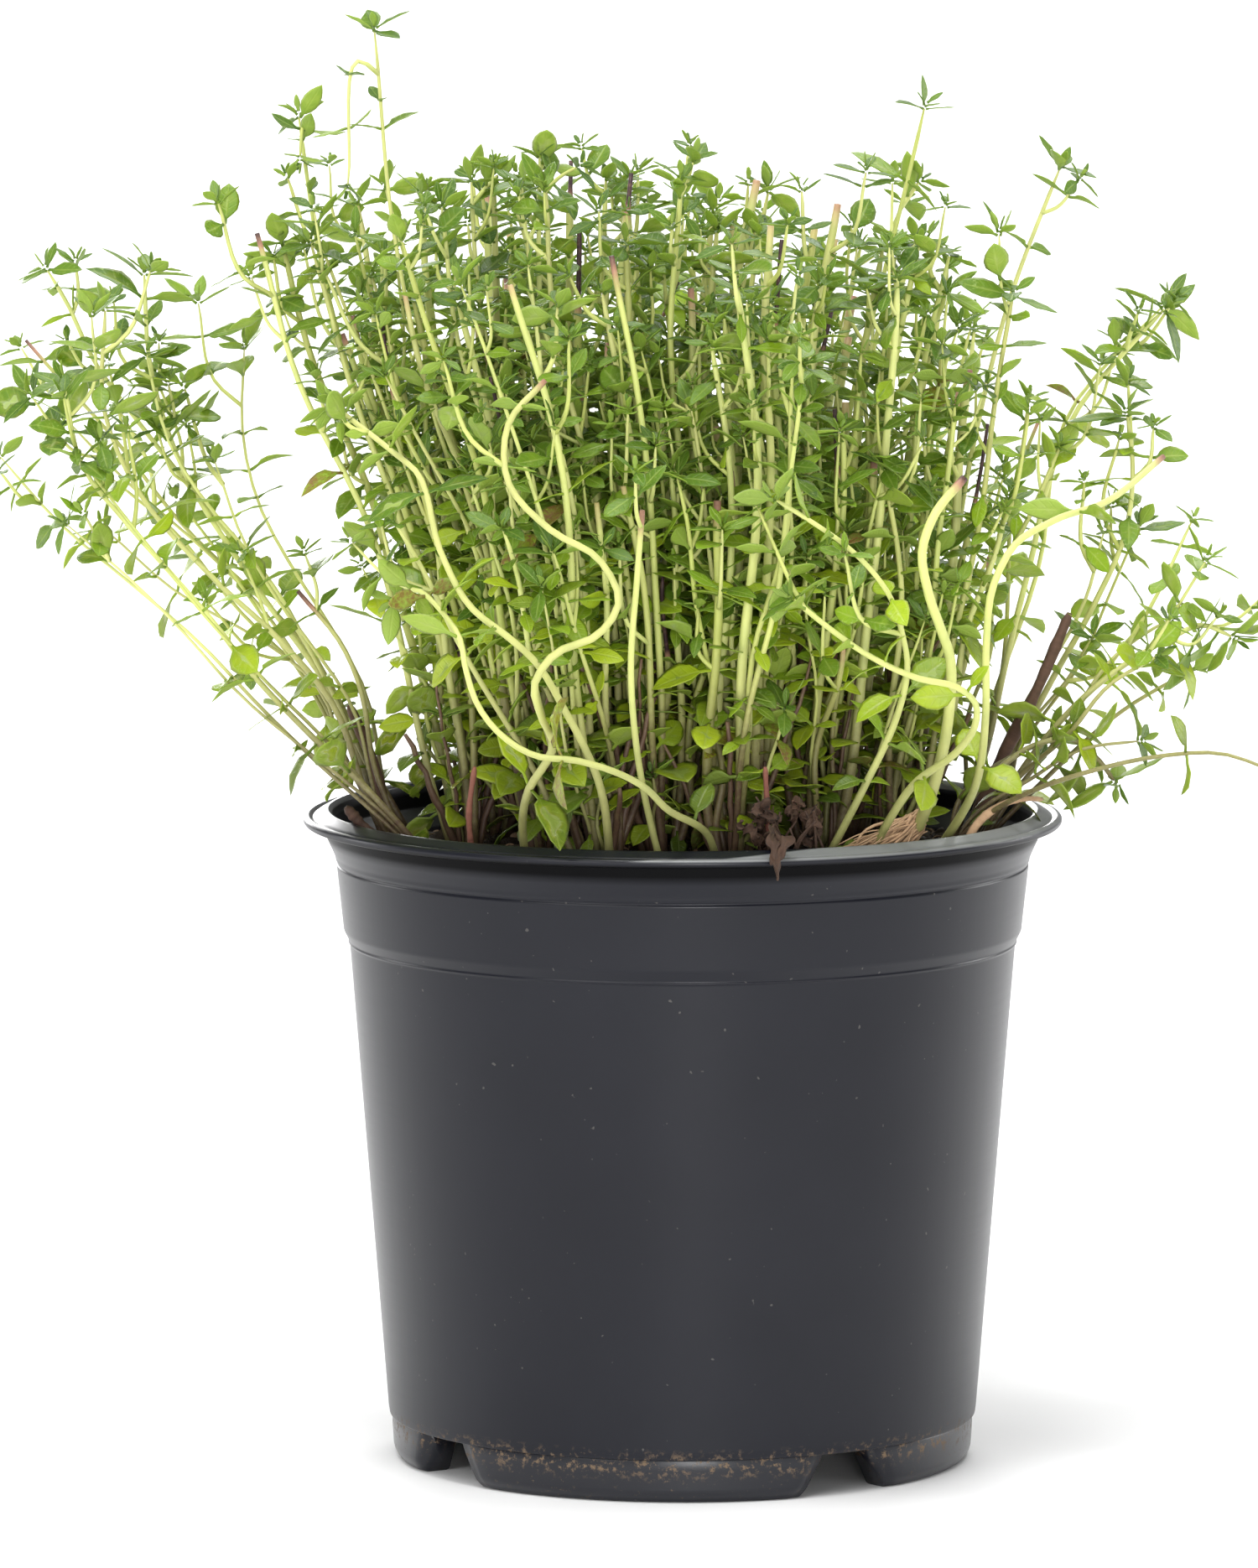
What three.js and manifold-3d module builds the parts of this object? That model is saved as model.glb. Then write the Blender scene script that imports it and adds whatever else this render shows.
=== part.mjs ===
// Potted lemon thyme in a round nursery pot.
// Millimetres, +Z up. The pot stands on z = 0 and the origin lies under the middle of the whole outline.
// Everything is drawn about the pot's own axis first, and the finished group is then moved over the origin.

import * as THREE from 'three';
import Module from 'manifold-3d';
import { mergeVertices } from 'three/addons/utils/BufferGeometryUtils.js';

// ---- Pot ----
const POT_HEIGHT = 112; // ground to the top of the lip
const RIM_RADIUS = 65; // outside of the lip
const LIP_WIDTH = 5; // how far the lip stands out from its inner edge
const LIP_HEIGHT = 2.6; // lip, underside to top
const NECK_HEIGHT = 5.4; // between the lip and the band's shoulder
const NECK_FLARE = 1.6; // how far the neck opens towards the lip
const BAND_HEIGHT = 12.7; // plain band below the neck
const BAND_TAPER = 1.3;
const CHAMFER_HEIGHT = 2.1; // slope from the band in to the wall
const CHAMFER_STEP = 1;
const WALL_FOOT_RADIUS = 50.5; // wall's radius where it ends above the feet
const WALL = 1;
const FLOOR = 1.5;
const FOOT_HEIGHT = 7.5;
const FOOT_WIDTH = 6; // radial width of the ring that the feet are cut from
const FOOT_INSET = 0.5;
const FOOT_COUNT = 4;
const FOOT_GAP_TOP = 10.5; // gap between two feet at the floor
const FOOT_GAP_GROUND = 18.5; // and on the ground
const FOOT_GAP_TURN = 34.5; // degrees from the front to the first gap
const DRAIN_RADIUS = 3.5; // drain hole in the floor at each gap
const DRAIN_RING = 38;

// ---- Soil ----
const SOIL_DROP = 9; // lip's top down to the soil at the wall
const MOUND = 5; // rise of the soil from the wall to the middle
const FIT = 0.3; // clearance between pieces that touch

// ---- Plants ----
const SPRIG_COUNT = 29; // rooted plants in the body of the bush
const STEMS_PER_SPRIG = 4;
const STEM_WIDTH = 1.8; // thyme stems are square
const SPRIG_BED = 15.5; // bed's edge in to the outermost of those plants
const TUFT_RADIUS = 3.6; // the stems of one plant stand this far from its middle
const CANOPY = 121; // soil to the tops in the middle of the bush
const CANOPY_FALL = 0.15; // share that the canopy loses at its edge
const SPREAD_X = 0.74; // how much wider the bush is at the top than at the soil, side to side
const SPREAD_Y = 0.52; // and front to back
const SPREAD_POWER = 1.25;
const SIDE_DRIFT = -5; // the whole bush leans this far to -X at the top
const WANDER = 3.2; // soft shared bend of neighbouring stems
const CROWN_RADIUS = 3.5; // root crown of a plant with several stems
const SHOOT_CROWN_RADIUS = 2.1; // root crown of a single shoot
const CROWN_DEPTH = 4;
const CROWN_RISE = 1.5;

const LEAF_REACH = 6.2; // stem to leaf tip
const LEAF_WIDTH = 4.6;
const LEAF_THICKNESS = 1.3;

const TURN_STEPS = 32; // sides of the turned pieces
const GOLDEN_ANGLE = Math.PI * (3 - Math.sqrt(5));

const LIP_BASE = POT_HEIGHT - LIP_HEIGHT;
const SHOULDER_Z = LIP_BASE - NECK_HEIGHT;
const BAND_BASE = SHOULDER_Z - BAND_HEIGHT;
const WALL_TOP = BAND_BASE - CHAMFER_HEIGHT;
const LIP_INNER = RIM_RADIUS - LIP_WIDTH;
const NECK_RADIUS = LIP_INNER + WALL;
const SHOULDER_RADIUS = NECK_RADIUS - NECK_FLARE;
const BAND_FOOT_RADIUS = SHOULDER_RADIUS - BAND_TAPER;
const WALL_TOP_RADIUS = BAND_FOOT_RADIUS - CHAMFER_STEP;
const FLOOR_TOP = FOOT_HEIGHT + FLOOR;
const FLOOR_RADIUS = WALL_FOOT_RADIUS - WALL;
const SOIL_EDGE = POT_HEIGHT - SOIL_DROP;
const WALL_INNER = SHOULDER_RADIUS - WALL; // inside of the wall at the soil's edge
const BED_RADIUS = BAND_FOOT_RADIUS - WALL - FIT;
const SPRIG_RADIUS = BED_RADIUS - SPRIG_BED + TUFT_RADIUS;

const wasm = await Module();
wasm.setup();

const plastic = new THREE.MeshStandardMaterial({ color: 0x2b2c30, roughness: 0.42, metalness: 0 });
const earth = new THREE.MeshStandardMaterial({ color: 0x2a211b, roughness: 0.97, metalness: 0 });
const green = new THREE.MeshStandardMaterial({ color: 0x8fae4f, roughness: 0.55, metalness: 0 });
const paleGreen = new THREE.MeshStandardMaterial({ color: 0xb3c474, roughness: 0.5, metalness: 0 });
const bark = new THREE.MeshStandardMaterial({ color: 0x4a3a2e, roughness: 0.85, metalness: 0 });
const deadLeaf = new THREE.MeshStandardMaterial({ color: 0x6b4a33, roughness: 0.9, metalness: 0 });
const dryStraw = new THREE.MeshStandardMaterial({ color: 0xa0805a, roughness: 0.85, metalness: 0 });
const stone = new THREE.MeshStandardMaterial({ color: 0x9b8468, roughness: 0.8, metalness: 0 });

// ---- Solids ----

// A closed three.js geometry as a solid: shared corners are merged and collapsed faces dropped.
function solidOf(geometry) {
  const bare = geometry.clone();
  bare.deleteAttribute('normal');
  bare.deleteAttribute('uv');
  const merged = mergeVertices(bare, 1e-4);
  const corners = merged.index.array;
  const faces = [];
  for (let i = 0; i < corners.length; i += 3) {
    const [a, b, c] = [corners[i], corners[i + 1], corners[i + 2]];
    if (a !== b && b !== c && c !== a) faces.push(a, b, c);
  }
  const mesh = new wasm.Mesh({
    numProp: 3,
    vertProperties: merged.attributes.position.array,
    triVerts: new Uint32Array(faces),
  });
  return new wasm.Manifold(mesh);
}

function geometryOf(solid) {
  const mesh = solid.getMesh();
  const geometry = new THREE.BufferGeometry();
  geometry.setAttribute('position', new THREE.BufferAttribute(mesh.vertProperties, 3));
  geometry.setIndex(new THREE.BufferAttribute(mesh.triVerts, 1));
  geometry.computeVertexNormals();
  return geometry;
}

function join(solids) {
  return solids.reduce((whole, next) => whole.add(next));
}

function node(name, solid, material) {
  const mesh = new THREE.Mesh(geometryOf(solid), material);
  mesh.name = name;
  return mesh;
}

// A profile of [radius, height] points turned about +Z. It runs with the material on its left.
function turned(profile, steps = TURN_STEPS) {
  const points = profile.map(([radius, height]) => new THREE.Vector2(radius, height));
  return solidOf(new THREE.LatheGeometry(points, steps).rotateX(Math.PI / 2));
}

function point([x, y, z]) {
  return new THREE.Vector3(x, y, z);
}

// A rod of square or many-sided section along a smooth curve through the points. `flat` below 1 makes a strip.
function rod(points, width, steps, sides = 4, flat = 1) {
  const corners = [];
  for (let i = 0; i < sides; i += 1) {
    const turn = (2 * Math.PI * (i + 0.5)) / sides;
    corners.push(new THREE.Vector2(Math.cos(turn), flat * Math.sin(turn)).multiplyScalar(width * 0.62));
  }
  const section = new THREE.Shape(corners);
  const extrudePath = new THREE.CatmullRomCurve3(points, false, 'centripetal');
  return solidOf(new THREE.ExtrudeGeometry(section, { steps, bevelEnabled: false, extrudePath }));
}

// A round plug standing on end, from one height to another.
function plug(x, y, radius, low, high, sides = 5) {
  const cylinder = new THREE.CylinderGeometry(radius, radius, high - low, sides);
  cylinder.rotateX(Math.PI / 2);
  cylinder.translate(x, y, (low + high) / 2);
  return solidOf(cylinder);
}

// ---- Pot and soil ----

function pot() {
  const footOuter = WALL_FOOT_RADIUS - FOOT_INSET;
  const profile = [
    [0, FOOT_HEIGHT],
    [footOuter - FOOT_WIDTH, FOOT_HEIGHT],
    [footOuter - FOOT_WIDTH, 0],
    [footOuter - 1.4, 0],
    [footOuter - 0.3, 1.6],
    [footOuter, FOOT_HEIGHT - 0.8],
    [WALL_FOOT_RADIUS, FOOT_HEIGHT],
    [WALL_TOP_RADIUS, WALL_TOP],
    [BAND_FOOT_RADIUS, BAND_BASE],
    [SHOULDER_RADIUS, SHOULDER_Z],
    [NECK_RADIUS, LIP_BASE - NECK_HEIGHT * 0.4],
    [NECK_RADIUS + 0.6, LIP_BASE],
    [RIM_RADIUS - 0.7, LIP_BASE],
    [RIM_RADIUS, LIP_BASE + 0.8],
    [RIM_RADIUS - 0.8, LIP_BASE + 1.6],
    [LIP_INNER + 0.9, POT_HEIGHT],
    [LIP_INNER, POT_HEIGHT - 0.6],
    [NECK_RADIUS - WALL, LIP_BASE - NECK_HEIGHT * 0.4],
    [WALL_INNER, SHOULDER_Z],
    [BAND_FOOT_RADIUS - WALL, BAND_BASE],
    [WALL_TOP_RADIUS - WALL, WALL_TOP],
    [FLOOR_RADIUS, FLOOR_TOP],
    [0, FLOOR_TOP],
  ];
  let solid = turned(profile);
  for (let i = 0; i < FOOT_COUNT; i += 1) {
    const turn = THREE.MathUtils.degToRad(FOOT_GAP_TURN + (360 / FOOT_COUNT) * i) - Math.PI / 2;
    solid = solid.subtract(footGap(turn));
    const across = DRAIN_RING * Math.cos(turn);
    const along = DRAIN_RING * Math.sin(turn);
    solid = solid.subtract(plug(across, along, DRAIN_RADIUS, FOOT_HEIGHT - 1, FLOOR_TOP + 1, 10));
  }
  return solid;
}

// A block with slanted sides that opens the ring between two feet.
function footGap(turn) {
  const top = FOOT_HEIGHT - 0.5;
  const flare = (FOOT_GAP_GROUND - FOOT_GAP_TOP) / 2 / top;
  const low = -1;
  const section = new THREE.Shape([
    new THREE.Vector2(FOOT_GAP_TOP / 2 + flare * (top - low), low),
    new THREE.Vector2(FOOT_GAP_TOP / 2, top),
    new THREE.Vector2(-FOOT_GAP_TOP / 2, top),
    new THREE.Vector2(-FOOT_GAP_TOP / 2 - flare * (top - low), low),
  ]);
  const block = new THREE.ExtrudeGeometry(section, { depth: FOOT_WIDTH + 8, bevelEnabled: false });
  block.rotateX(Math.PI / 2);
  block.rotateZ(Math.PI / 2);
  block.translate(WALL_FOOT_RADIUS - FOOT_INSET - FOOT_WIDTH - 4, 0, 0);
  block.rotateZ(turn);
  return solidOf(block);
}

// Height of the mound at a distance from the pot's axis.
function soilTop(x, y) {
  const share = Math.min(1, Math.hypot(x, y) / BED_RADIUS);
  return SOIL_EDGE + MOUND * (1 - share ** 2.4);
}

function rootBall(sockets) {
  const profile = [
    [0, FLOOR_TOP + FIT],
    [FLOOR_RADIUS - FIT, FLOOR_TOP + FIT],
    [WALL_TOP_RADIUS - WALL - FIT, WALL_TOP],
    [BED_RADIUS, BAND_BASE + FIT],
    [WALL_INNER - FIT, SOIL_EDGE],
  ];
  for (const share of [0.86, 0.66, 0.36]) {
    const radius = BED_RADIUS * share;
    profile.push([radius, soilTop(radius, 0)]);
  }
  profile.push([0, SOIL_EDGE + MOUND]);
  return sockets.reduce((soil, socket) => soil.subtract(socket), turned(profile));
}

// ---- Plants ----

// Repeatable scatter between 0 and 1.
function scatter(seed) {
  const wave = Math.sin(seed * 12.9898 + 78.233) * 43758.5453;
  return wave - Math.floor(wave);
}

// The body of the bush is one flow that opens upwards. A stem that starts at (x, y) stays in its own lane,
// so its neighbours never cross it. `rise` is the height above the soil's edge.
function lane(x, y, rise) {
  const up = Math.max(0, rise) / CANOPY;
  const open = up ** SPREAD_POWER;
  const bend = WANDER * up;
  return new THREE.Vector3(
    x * (1 + SPREAD_X * open) + SIDE_DRIFT * open + bend * Math.sin(rise * 0.06 + y * 0.05),
    y * (1 + SPREAD_Y * open) + bend * Math.cos(rise * 0.05 + x * 0.05 + 1),
    SOIL_EDGE + rise,
  );
}

// Height that the canopy has over a root at (x, y).
function canopyAt(x, y) {
  const share = Math.hypot(x, y) / SPRIG_RADIUS;
  return CANOPY * (1 - CANOPY_FALL * share ** 2 - 0.05 * (x / SPRIG_RADIUS));
}

// Shoots that stand clear above the canopy: plant number and height above the soil's edge.
const LEADERS = new Map([[12, 143], [17, 127], [8, 128], [21, 118]]);

function sprigPlan(index) {
  const ring = (SPRIG_RADIUS - TUFT_RADIUS) * Math.sqrt((index + 0.5) / SPRIG_COUNT);
  const turn = index * GOLDEN_ANGLE;
  const x = ring * Math.cos(turn);
  const y = ring * Math.sin(turn);
  const stems = [];
  for (let i = 0; i < STEMS_PER_SPRIG; i += 1) {
    const side = turn + (i + 0.25 * scatter(index * 7 + i)) * ((2 * Math.PI) / STEMS_PER_SPRIG);
    const rootX = x + TUFT_RADIUS * Math.cos(side);
    const rootY = y + TUFT_RADIUS * Math.sin(side);
    const short = i === 0 ? 0.04 : 0.42;
    let height = canopyAt(rootX, rootY) * (1 - short * scatter(index * 31 + i * 5 + 2));
    if (i === 0 && LEADERS.has(index)) height = LEADERS.get(index);
    stems.push({ route: stemRoute(x, y, rootX, rootY, height), width: STEM_WIDTH, turn: side });
  }
  return { name: `sprig_${String(index + 1).padStart(2, '0')}`, x, y, crown: CROWN_RADIUS, stems };
}

// From the plant's middle out to the stem's own lane, and up it.
function stemRoute(x, y, rootX, rootY, height) {
  const start = soilTop(x, y) - SOIL_EDGE + CROWN_RISE / 2;
  const points = [];
  for (const share of [0, 0.1, 0.3, 0.55, 0.78, 1]) {
    const leave = Math.min(1, 0.66 + share * 3);
    const rise = start + (height - start) * share;
    points.push(lane(x + (rootX - x) * leave, y + (rootY - y) * leave, rise));
  }
  return points;
}

// Single shoots outside the body of the bush, from root to tip: [x, y, height above the lip], chosen for a
// lip of 130 mm. They stretch with the lip and rise with the pot.
const SHOOTS = {
  winding_stem: [
    [-26, -43, -9], [-27, -51, 3], [-26, -60, 10], [-22, -68, 19], [-24, -72, 24], [-25, -74, 29],
    [-22, -75, 34], [-14, -76, 38], [-11, -77, 43], [-14, -77, 50], [-22, -77, 55], [-29, -76, 63],
    [-29, -74, 72], [-23, -70, 79],
  ],
  slanting_stem: [
    [-12, -49, -9], [-14, -56, 10], [-20, -64, 24], [-25, -70, 33], [-29, -73, 37], [-35, -74, 42],
    [-40, -73, 51], [-44, -72, 64], [-48, -68, 67], [-58, -60, 74],
  ],
  looping_stem: [
    [6, -49.5, -9], [4, -56, 2], [-3, -65, 7.5], [-7, -71, 12], [-12, -75, 15], [-18, -77, 17],
    [-25, -78, 18], [-31, -78, 22], [-34, -77, 26], [-36, -76, 32], [-37, -74, 37], [-40, -71, 41],
    [-44, -66, 44], [-48, -60, 42],
  ],
  straight_stem: [[-3, -50, -9], [-6, -54, 6], [-8, -60, 18], [-9, -68, 33], [-8, -72, 46], [-7, -74, 58]],
  sagging_stem: [
    [30, -40, -9], [34, -48, 3], [39, -54, 11], [45, -58, 16], [48, -62, 21], [48, -65, 25],
    [45, -68, 28], [38, -71, 30], [30, -73, 34], [23, -73, 39], [18, -72, 43],
  ],
  hooked_stem: [
    [41, -29, -9], [49, -45, 10], [50, -54, 22], [50, -60, 35], [51, -62, 44], [54, -60, 50],
    [61, -52, 54], [70, -40, 56], [81, -20, 62],
  ],
  stout_cut_stem: [
    [36, -34.5, -9], [42, -46, 10], [44, -54, 21], [44, -61, 32], [42, -67, 38], [40, -71, 44],
    [39, -72, 51], [41, -72, 57], [46, -70, 63],
  ],
  leaning_stem: [
    [22, -45, -9], [30, -53, 10], [35, -57, 21], [37, -63, 30], [36, -70, 37], [33, -76, 45],
    [27, -79, 52], [20, -79, 57], [15, -78, 60],
  ],
  left_outer_sprig: [
    [-49, -8, -9], [-54, -9, 4], [-59, -9, 18], [-69, -10, 30], [-80, -10, 40], [-93, -10, 56],
    [-98, -10, 69], [-98, -10, 86],
  ],
  left_fork_sprig: [
    [-50, 4, -9], [-54, 5, 4], [-60, 5, 19], [-74, 5, 39], [-86, 5, 58], [-91, 5, 75], [-92, 5, 91],
  ],
  left_far_sprig: [
    [-47, 16, -9], [-53, 17, 4], [-58, 18, 14], [-71, 18, 36], [-84, 18, 52], [-94, 17, 65],
    [-101, 16, 75], [-106, 15, 86], [-109, 15, 91],
  ],
  left_low_sprig: [
    [-42, -26.5, -9], [-52, -29, 5], [-63, -29, 16], [-73, -29, 27], [-78, -30, 34], [-85, -30, 42],
    [-94, -30, 52], [-101, -30, 61], [-104, -30, 75],
  ],
  right_high_sprig: [
    [47, 16, -9], [52, 18, 6], [56, 20, 22], [60, 21, 40], [63, 22, 54], [68, 22, 66], [75, 21, 75],
    [83, 20, 84],
  ],
  right_outer_sprig: [
    [50, 2, -9], [56, 3, 8], [63, 4, 21], [71, 4, 35], [76, 4, 47], [77, 4, 58], [76, 4, 67],
  ],
  right_trailing_sprig: [
    [49, -10, -9], [57, -13, 7], [64, -15, 16], [73, -16, 25], [83, -15, 31], [88, -15, 33], [93, -15, 31],
  ],
  right_drooping_sprig: [
    [44, -20, -9], [48, -20, 3], [55, -20, 10], [60, -20, 13], [66, -20, 14], [70, -20, 11], [73, -20, 7],
  ],
  back_left_sprig: [[-25, 43, -9], [-30, 54, 10], [-37, 64, 34], [-42, 72, 58], [-45, 76, 82]],
  back_middle_sprig: [[3, 50, -9], [4, 58, 12], [6, 68, 38], [4, 76, 60], [2, 78, 90]],
  back_right_sprig: [[30, 40, -9], [36, 51, 10], [43, 61, 32], [49, 69, 54], [52, 74, 76]],
};

// Stretches a point drawn for the nominal lip and stands it at the pot's height.
function placed([x, y, overLip]) {
  const stretch = RIM_RADIUS / 65;
  return new THREE.Vector3(x * stretch, y * stretch, POT_HEIGHT + overLip);
}

function shootPlan([name, points]) {
  const route = points.map(placed);
  const [{ x, y }] = route;
  route[0].z = soilTop(x, y) + CROWN_RISE / 2;
  const turn = Math.atan2(y, x);
  return { name, x, y, crown: SHOOT_CROWN_RADIUS, stems: [{ route, width: STEM_WIDTH * 0.9, turn }] };
}

// The straight pieces of a stem between its route points, which a leaf has to keep clear of.
function spines(route) {
  return route.slice(1).map((end, i) => new THREE.Line3(route[i], end));
}

// An opposite pair of leaves as one flat lozenge across the stem.
function leafPair(centre, turn) {
  const lozenge = new THREE.Shape([
    new THREE.Vector2(LEAF_REACH, 0),
    new THREE.Vector2(0, LEAF_WIDTH / 2),
    new THREE.Vector2(-LEAF_REACH, 0),
    new THREE.Vector2(0, -LEAF_WIDTH / 2),
  ]);
  const blade = new THREE.ExtrudeGeometry(lozenge, { depth: LEAF_THICKNESS, bevelEnabled: false });
  blade.translate(0, 0, -LEAF_THICKNESS / 2);
  blade.rotateZ(turn);
  blade.translate(centre.x, centre.y, centre.z);
  return solidOf(blade);
}

// Where a pair of leaves fits on a stem: it keeps clear of the other plants, or it is left out.
function openTurn(centre, turn, others) {
  const least = (LEAF_WIDTH / 2 + STEM_WIDTH + FIT) ** 2;
  for (const extra of [0, 0.8, -0.8, 1.6]) {
    const half = new THREE.Vector3(Math.cos(turn + extra), Math.sin(turn + extra), 0).multiplyScalar(LEAF_REACH);
    const span = new THREE.Line3(centre.clone().sub(half), centre.clone().add(half));
    if (others.every((line) => line.distanceSqToLine3(span) > least)) return { turn: turn + extra, span };
  }
  return null;
}

const plans = [];
for (let i = 0; i < SPRIG_COUNT; i += 1) plans.push(sprigPlan(i));
plans.push(...Object.entries(SHOOTS).map(shootPlan));
const taken = plans.map((plan) => plan.stems.flatMap((stem) => spines(stem.route)));

function plant(plan, index) {
  const top = soilTop(plan.x, plan.y);
  const parts = [plug(plan.x, plan.y, plan.crown, top - CROWN_DEPTH, top + CROWN_RISE)];
  const others = taken.filter((_, i) => i !== index).flat();
  for (const stem of plan.stems) {
    const steps = Math.max(5, Math.round(stem.route.length * 1.05));
    parts.push(rod(stem.route, stem.width, plan.stems.length > 1 ? 4 : steps));
    const end = stem.route.length - 1;
    const seats = plan.stems.length > 1 ? [[end, 0]] : [[end, 0], [end - 2, 1.57]];
    for (const [place, quarter] of seats) {
      const centre = stem.route[place];
      const open = openTurn(centre, stem.turn + quarter, others);
      if (open) {
        parts.push(leafPair(centre, open.turn));
        taken[index].push(open.span);
      }
    }
  }
  return node(plan.name, join(parts), index % 2 ? green : paleGreen);
}

function socket(plan) {
  const top = soilTop(plan.x, plan.y);
  return plug(plan.x, plan.y, plan.crown + FIT, top - CROWN_DEPTH - FIT, top + MOUND);
}

// ---- Dead bits on the soil and the lip ----

// A point seen from the pot's axis: degrees from +X, distance and height.
function around(degrees, radius, height) {
  const turn = THREE.MathUtils.degToRad(degrees);
  return new THREE.Vector3(radius * Math.cos(turn), radius * Math.sin(turn), height);
}

// A stalk that stands just clear of the soil, as [x, y, height above the soil's edge], stretched with the lip.
function standing(points, width, steps, sides) {
  const route = points.map(([x, y, height]) => placed([x, y, height - SOIL_DROP]));
  route[0].z = soilTop(route[0].x, route[0].y) + width * 0.62 + FIT;
  return rod(route, width, steps, sides);
}

function pebble() {
  const seat = around(196.3, WALL_INNER - 4.6, 0);
  const shape = new THREE.IcosahedronGeometry(1, 1).scale(3.7, 2.6, 2.2).rotateZ(1.5);
  return solidOf(shape.translate(seat.x, seat.y, soilTop(seat.x, seat.y) + 2.2 + 2 * FIT));
}

// A stub with its foot by the wall and its head over the lip.
function twigStub() {
  const foot = around(203, WALL_INNER - 3.9, SOIL_EDGE + 3);
  const bend = around(202, LIP_INNER - 2.8, POT_HEIGHT - 2.2);
  const head = around(201, LIP_INNER + 1.2, POT_HEIGHT + 2.7);
  return rod([foot, bend, head], 2, 3, 5);
}

// A shrivelled strip that starts over the soil, lies over the lip and hangs down outside it.
function leafCurl() {
  const spine = [
    around(-73, LIP_INNER - 4.5, SOIL_EDGE + 4.5),
    around(-75, LIP_INNER + 1, POT_HEIGHT + 3.2),
    around(-77, RIM_RADIUS + 2.8, POT_HEIGHT + 3.2),
    around(-77, RIM_RADIUS + 5.5, POT_HEIGHT - 4),
    around(-77, RIM_RADIUS + 5.2, POT_HEIGHT - 12),
  ];
  return rod(spine, 6, 8, 6, 0.22);
}

// Thin roots that follow the wall from one knot.
function rootTuft() {
  const reach = WALL_INNER - 1.6;
  const knot = around(-39.5, reach - 0.6, SOIL_EDGE + 2.6);
  const roots = [solidOf(new THREE.IcosahedronGeometry(1.2, 0).translate(knot.x, knot.y, knot.z))];
  for (let i = 0; i < 4; i += 1) {
    const bow = around(-48, reach, SOIL_EDGE + 1.8 + i * 0.6);
    const end = around(-59, reach + 0.2, SOIL_EDGE + 1.8 + i * 0.9);
    roots.push(rod([knot, bow, end], 0.9, 4, 3));
  }
  return join(roots);
}

// A curled dry blade that leaves the soil by the wall and lies over the lip.
function dryBlade() {
  const spine = [
    around(-32, WALL_INNER - 3, SOIL_EDGE + 4),
    around(-29, WALL_INNER - 2, POT_HEIGHT),
    around(-24.5, LIP_INNER - 1.8, POT_HEIGHT + 2.8),
    around(-20, LIP_INNER + 0.8, POT_HEIGHT + 3.9),
    around(-16.5, LIP_INNER + 3.6, POT_HEIGHT + 3.6),
  ];
  return rod(spine, 1.4, 6);
}

function debris() {
  return [
    node('pebble', pebble(), stone),
    node('twig_stub', twigStub(), bark),
    node('dead_stalk_left', standing([[-35, -37, 0], [-36, -41, 13], [-35, -43, 21]], 1.1, 4), bark),
    node('dead_stalk_right', standing([[14, -49, 0], [14, -50, 11], [13.5, -52, 22]], 1.1, 4), bark),
    node('woody_stem_left', standing([[-50, -2, 0], [-53, -2.5, 17], [-57, -3, 27]], 2, 4, 5), bark),
    node('woody_stem_right', standing([[48, -4, 0], [54, -5, 17], [60, -6, 29], [66, -5, 43]], 2, 5, 5), bark),
    node('dry_blade', dryBlade(), dryStraw),
    node('dry_root_tuft', rootTuft(), dryStraw),
    node('dead_leaf_curl', leafCurl(), deadLeaf),
  ];
}

// ---- Assembly ----

const assembly = new THREE.Group();
assembly.add(node('nursery_pot', pot(), plastic));
assembly.add(node('potting_soil', rootBall(plans.map(socket)), earth));
assembly.add(...debris());
assembly.add(...plans.map(plant));

const outline = new THREE.Box3().setFromObject(assembly);
const middle = outline.getCenter(new THREE.Vector3());
assembly.position.set(-middle.x, -middle.y, 0);

const pottedThyme = new THREE.Group();
pottedThyme.add(assembly);

export default pottedThyme;
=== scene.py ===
"""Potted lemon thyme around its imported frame, laid out as an add-on and run as a script.

Sizes are worked out in millimetres about the pot's own axis and turned into metres in the row frame
when a mesh is made.
"""

import math

import bpy
import numpy as np
from bpy.props import FloatProperty, FloatVectorProperty, IntProperty, PointerProperty
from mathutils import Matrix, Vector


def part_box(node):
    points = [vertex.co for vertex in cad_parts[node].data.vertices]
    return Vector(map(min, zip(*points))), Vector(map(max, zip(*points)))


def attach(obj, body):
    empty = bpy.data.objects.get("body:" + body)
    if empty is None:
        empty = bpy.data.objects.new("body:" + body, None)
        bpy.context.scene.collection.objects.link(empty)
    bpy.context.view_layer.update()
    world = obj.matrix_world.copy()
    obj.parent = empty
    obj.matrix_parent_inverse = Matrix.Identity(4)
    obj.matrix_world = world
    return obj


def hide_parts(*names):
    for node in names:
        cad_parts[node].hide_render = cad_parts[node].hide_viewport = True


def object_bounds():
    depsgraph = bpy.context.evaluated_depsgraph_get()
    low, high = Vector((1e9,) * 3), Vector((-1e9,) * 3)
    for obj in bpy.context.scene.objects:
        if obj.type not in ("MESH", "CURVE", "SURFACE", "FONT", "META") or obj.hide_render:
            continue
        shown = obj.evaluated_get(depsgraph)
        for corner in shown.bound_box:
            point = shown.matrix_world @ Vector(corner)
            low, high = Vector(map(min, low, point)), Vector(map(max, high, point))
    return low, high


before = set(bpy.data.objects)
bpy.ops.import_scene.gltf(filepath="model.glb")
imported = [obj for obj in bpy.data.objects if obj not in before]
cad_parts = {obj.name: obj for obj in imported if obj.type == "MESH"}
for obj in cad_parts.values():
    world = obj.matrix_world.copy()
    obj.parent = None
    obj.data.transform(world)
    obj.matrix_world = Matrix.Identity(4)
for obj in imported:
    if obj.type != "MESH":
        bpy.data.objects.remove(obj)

bl_info = {
    "name": "Potted Lemon Thyme",
    "version": (1, 0, 0),
    "blender": (4, 5, 0),
    "location": "View3D > Sidebar > Thyme",
    "description": "Builds the pot, the soil, the thyme plants and the dead bits of a potted lemon thyme",
    "category": "Object",
}

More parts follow.
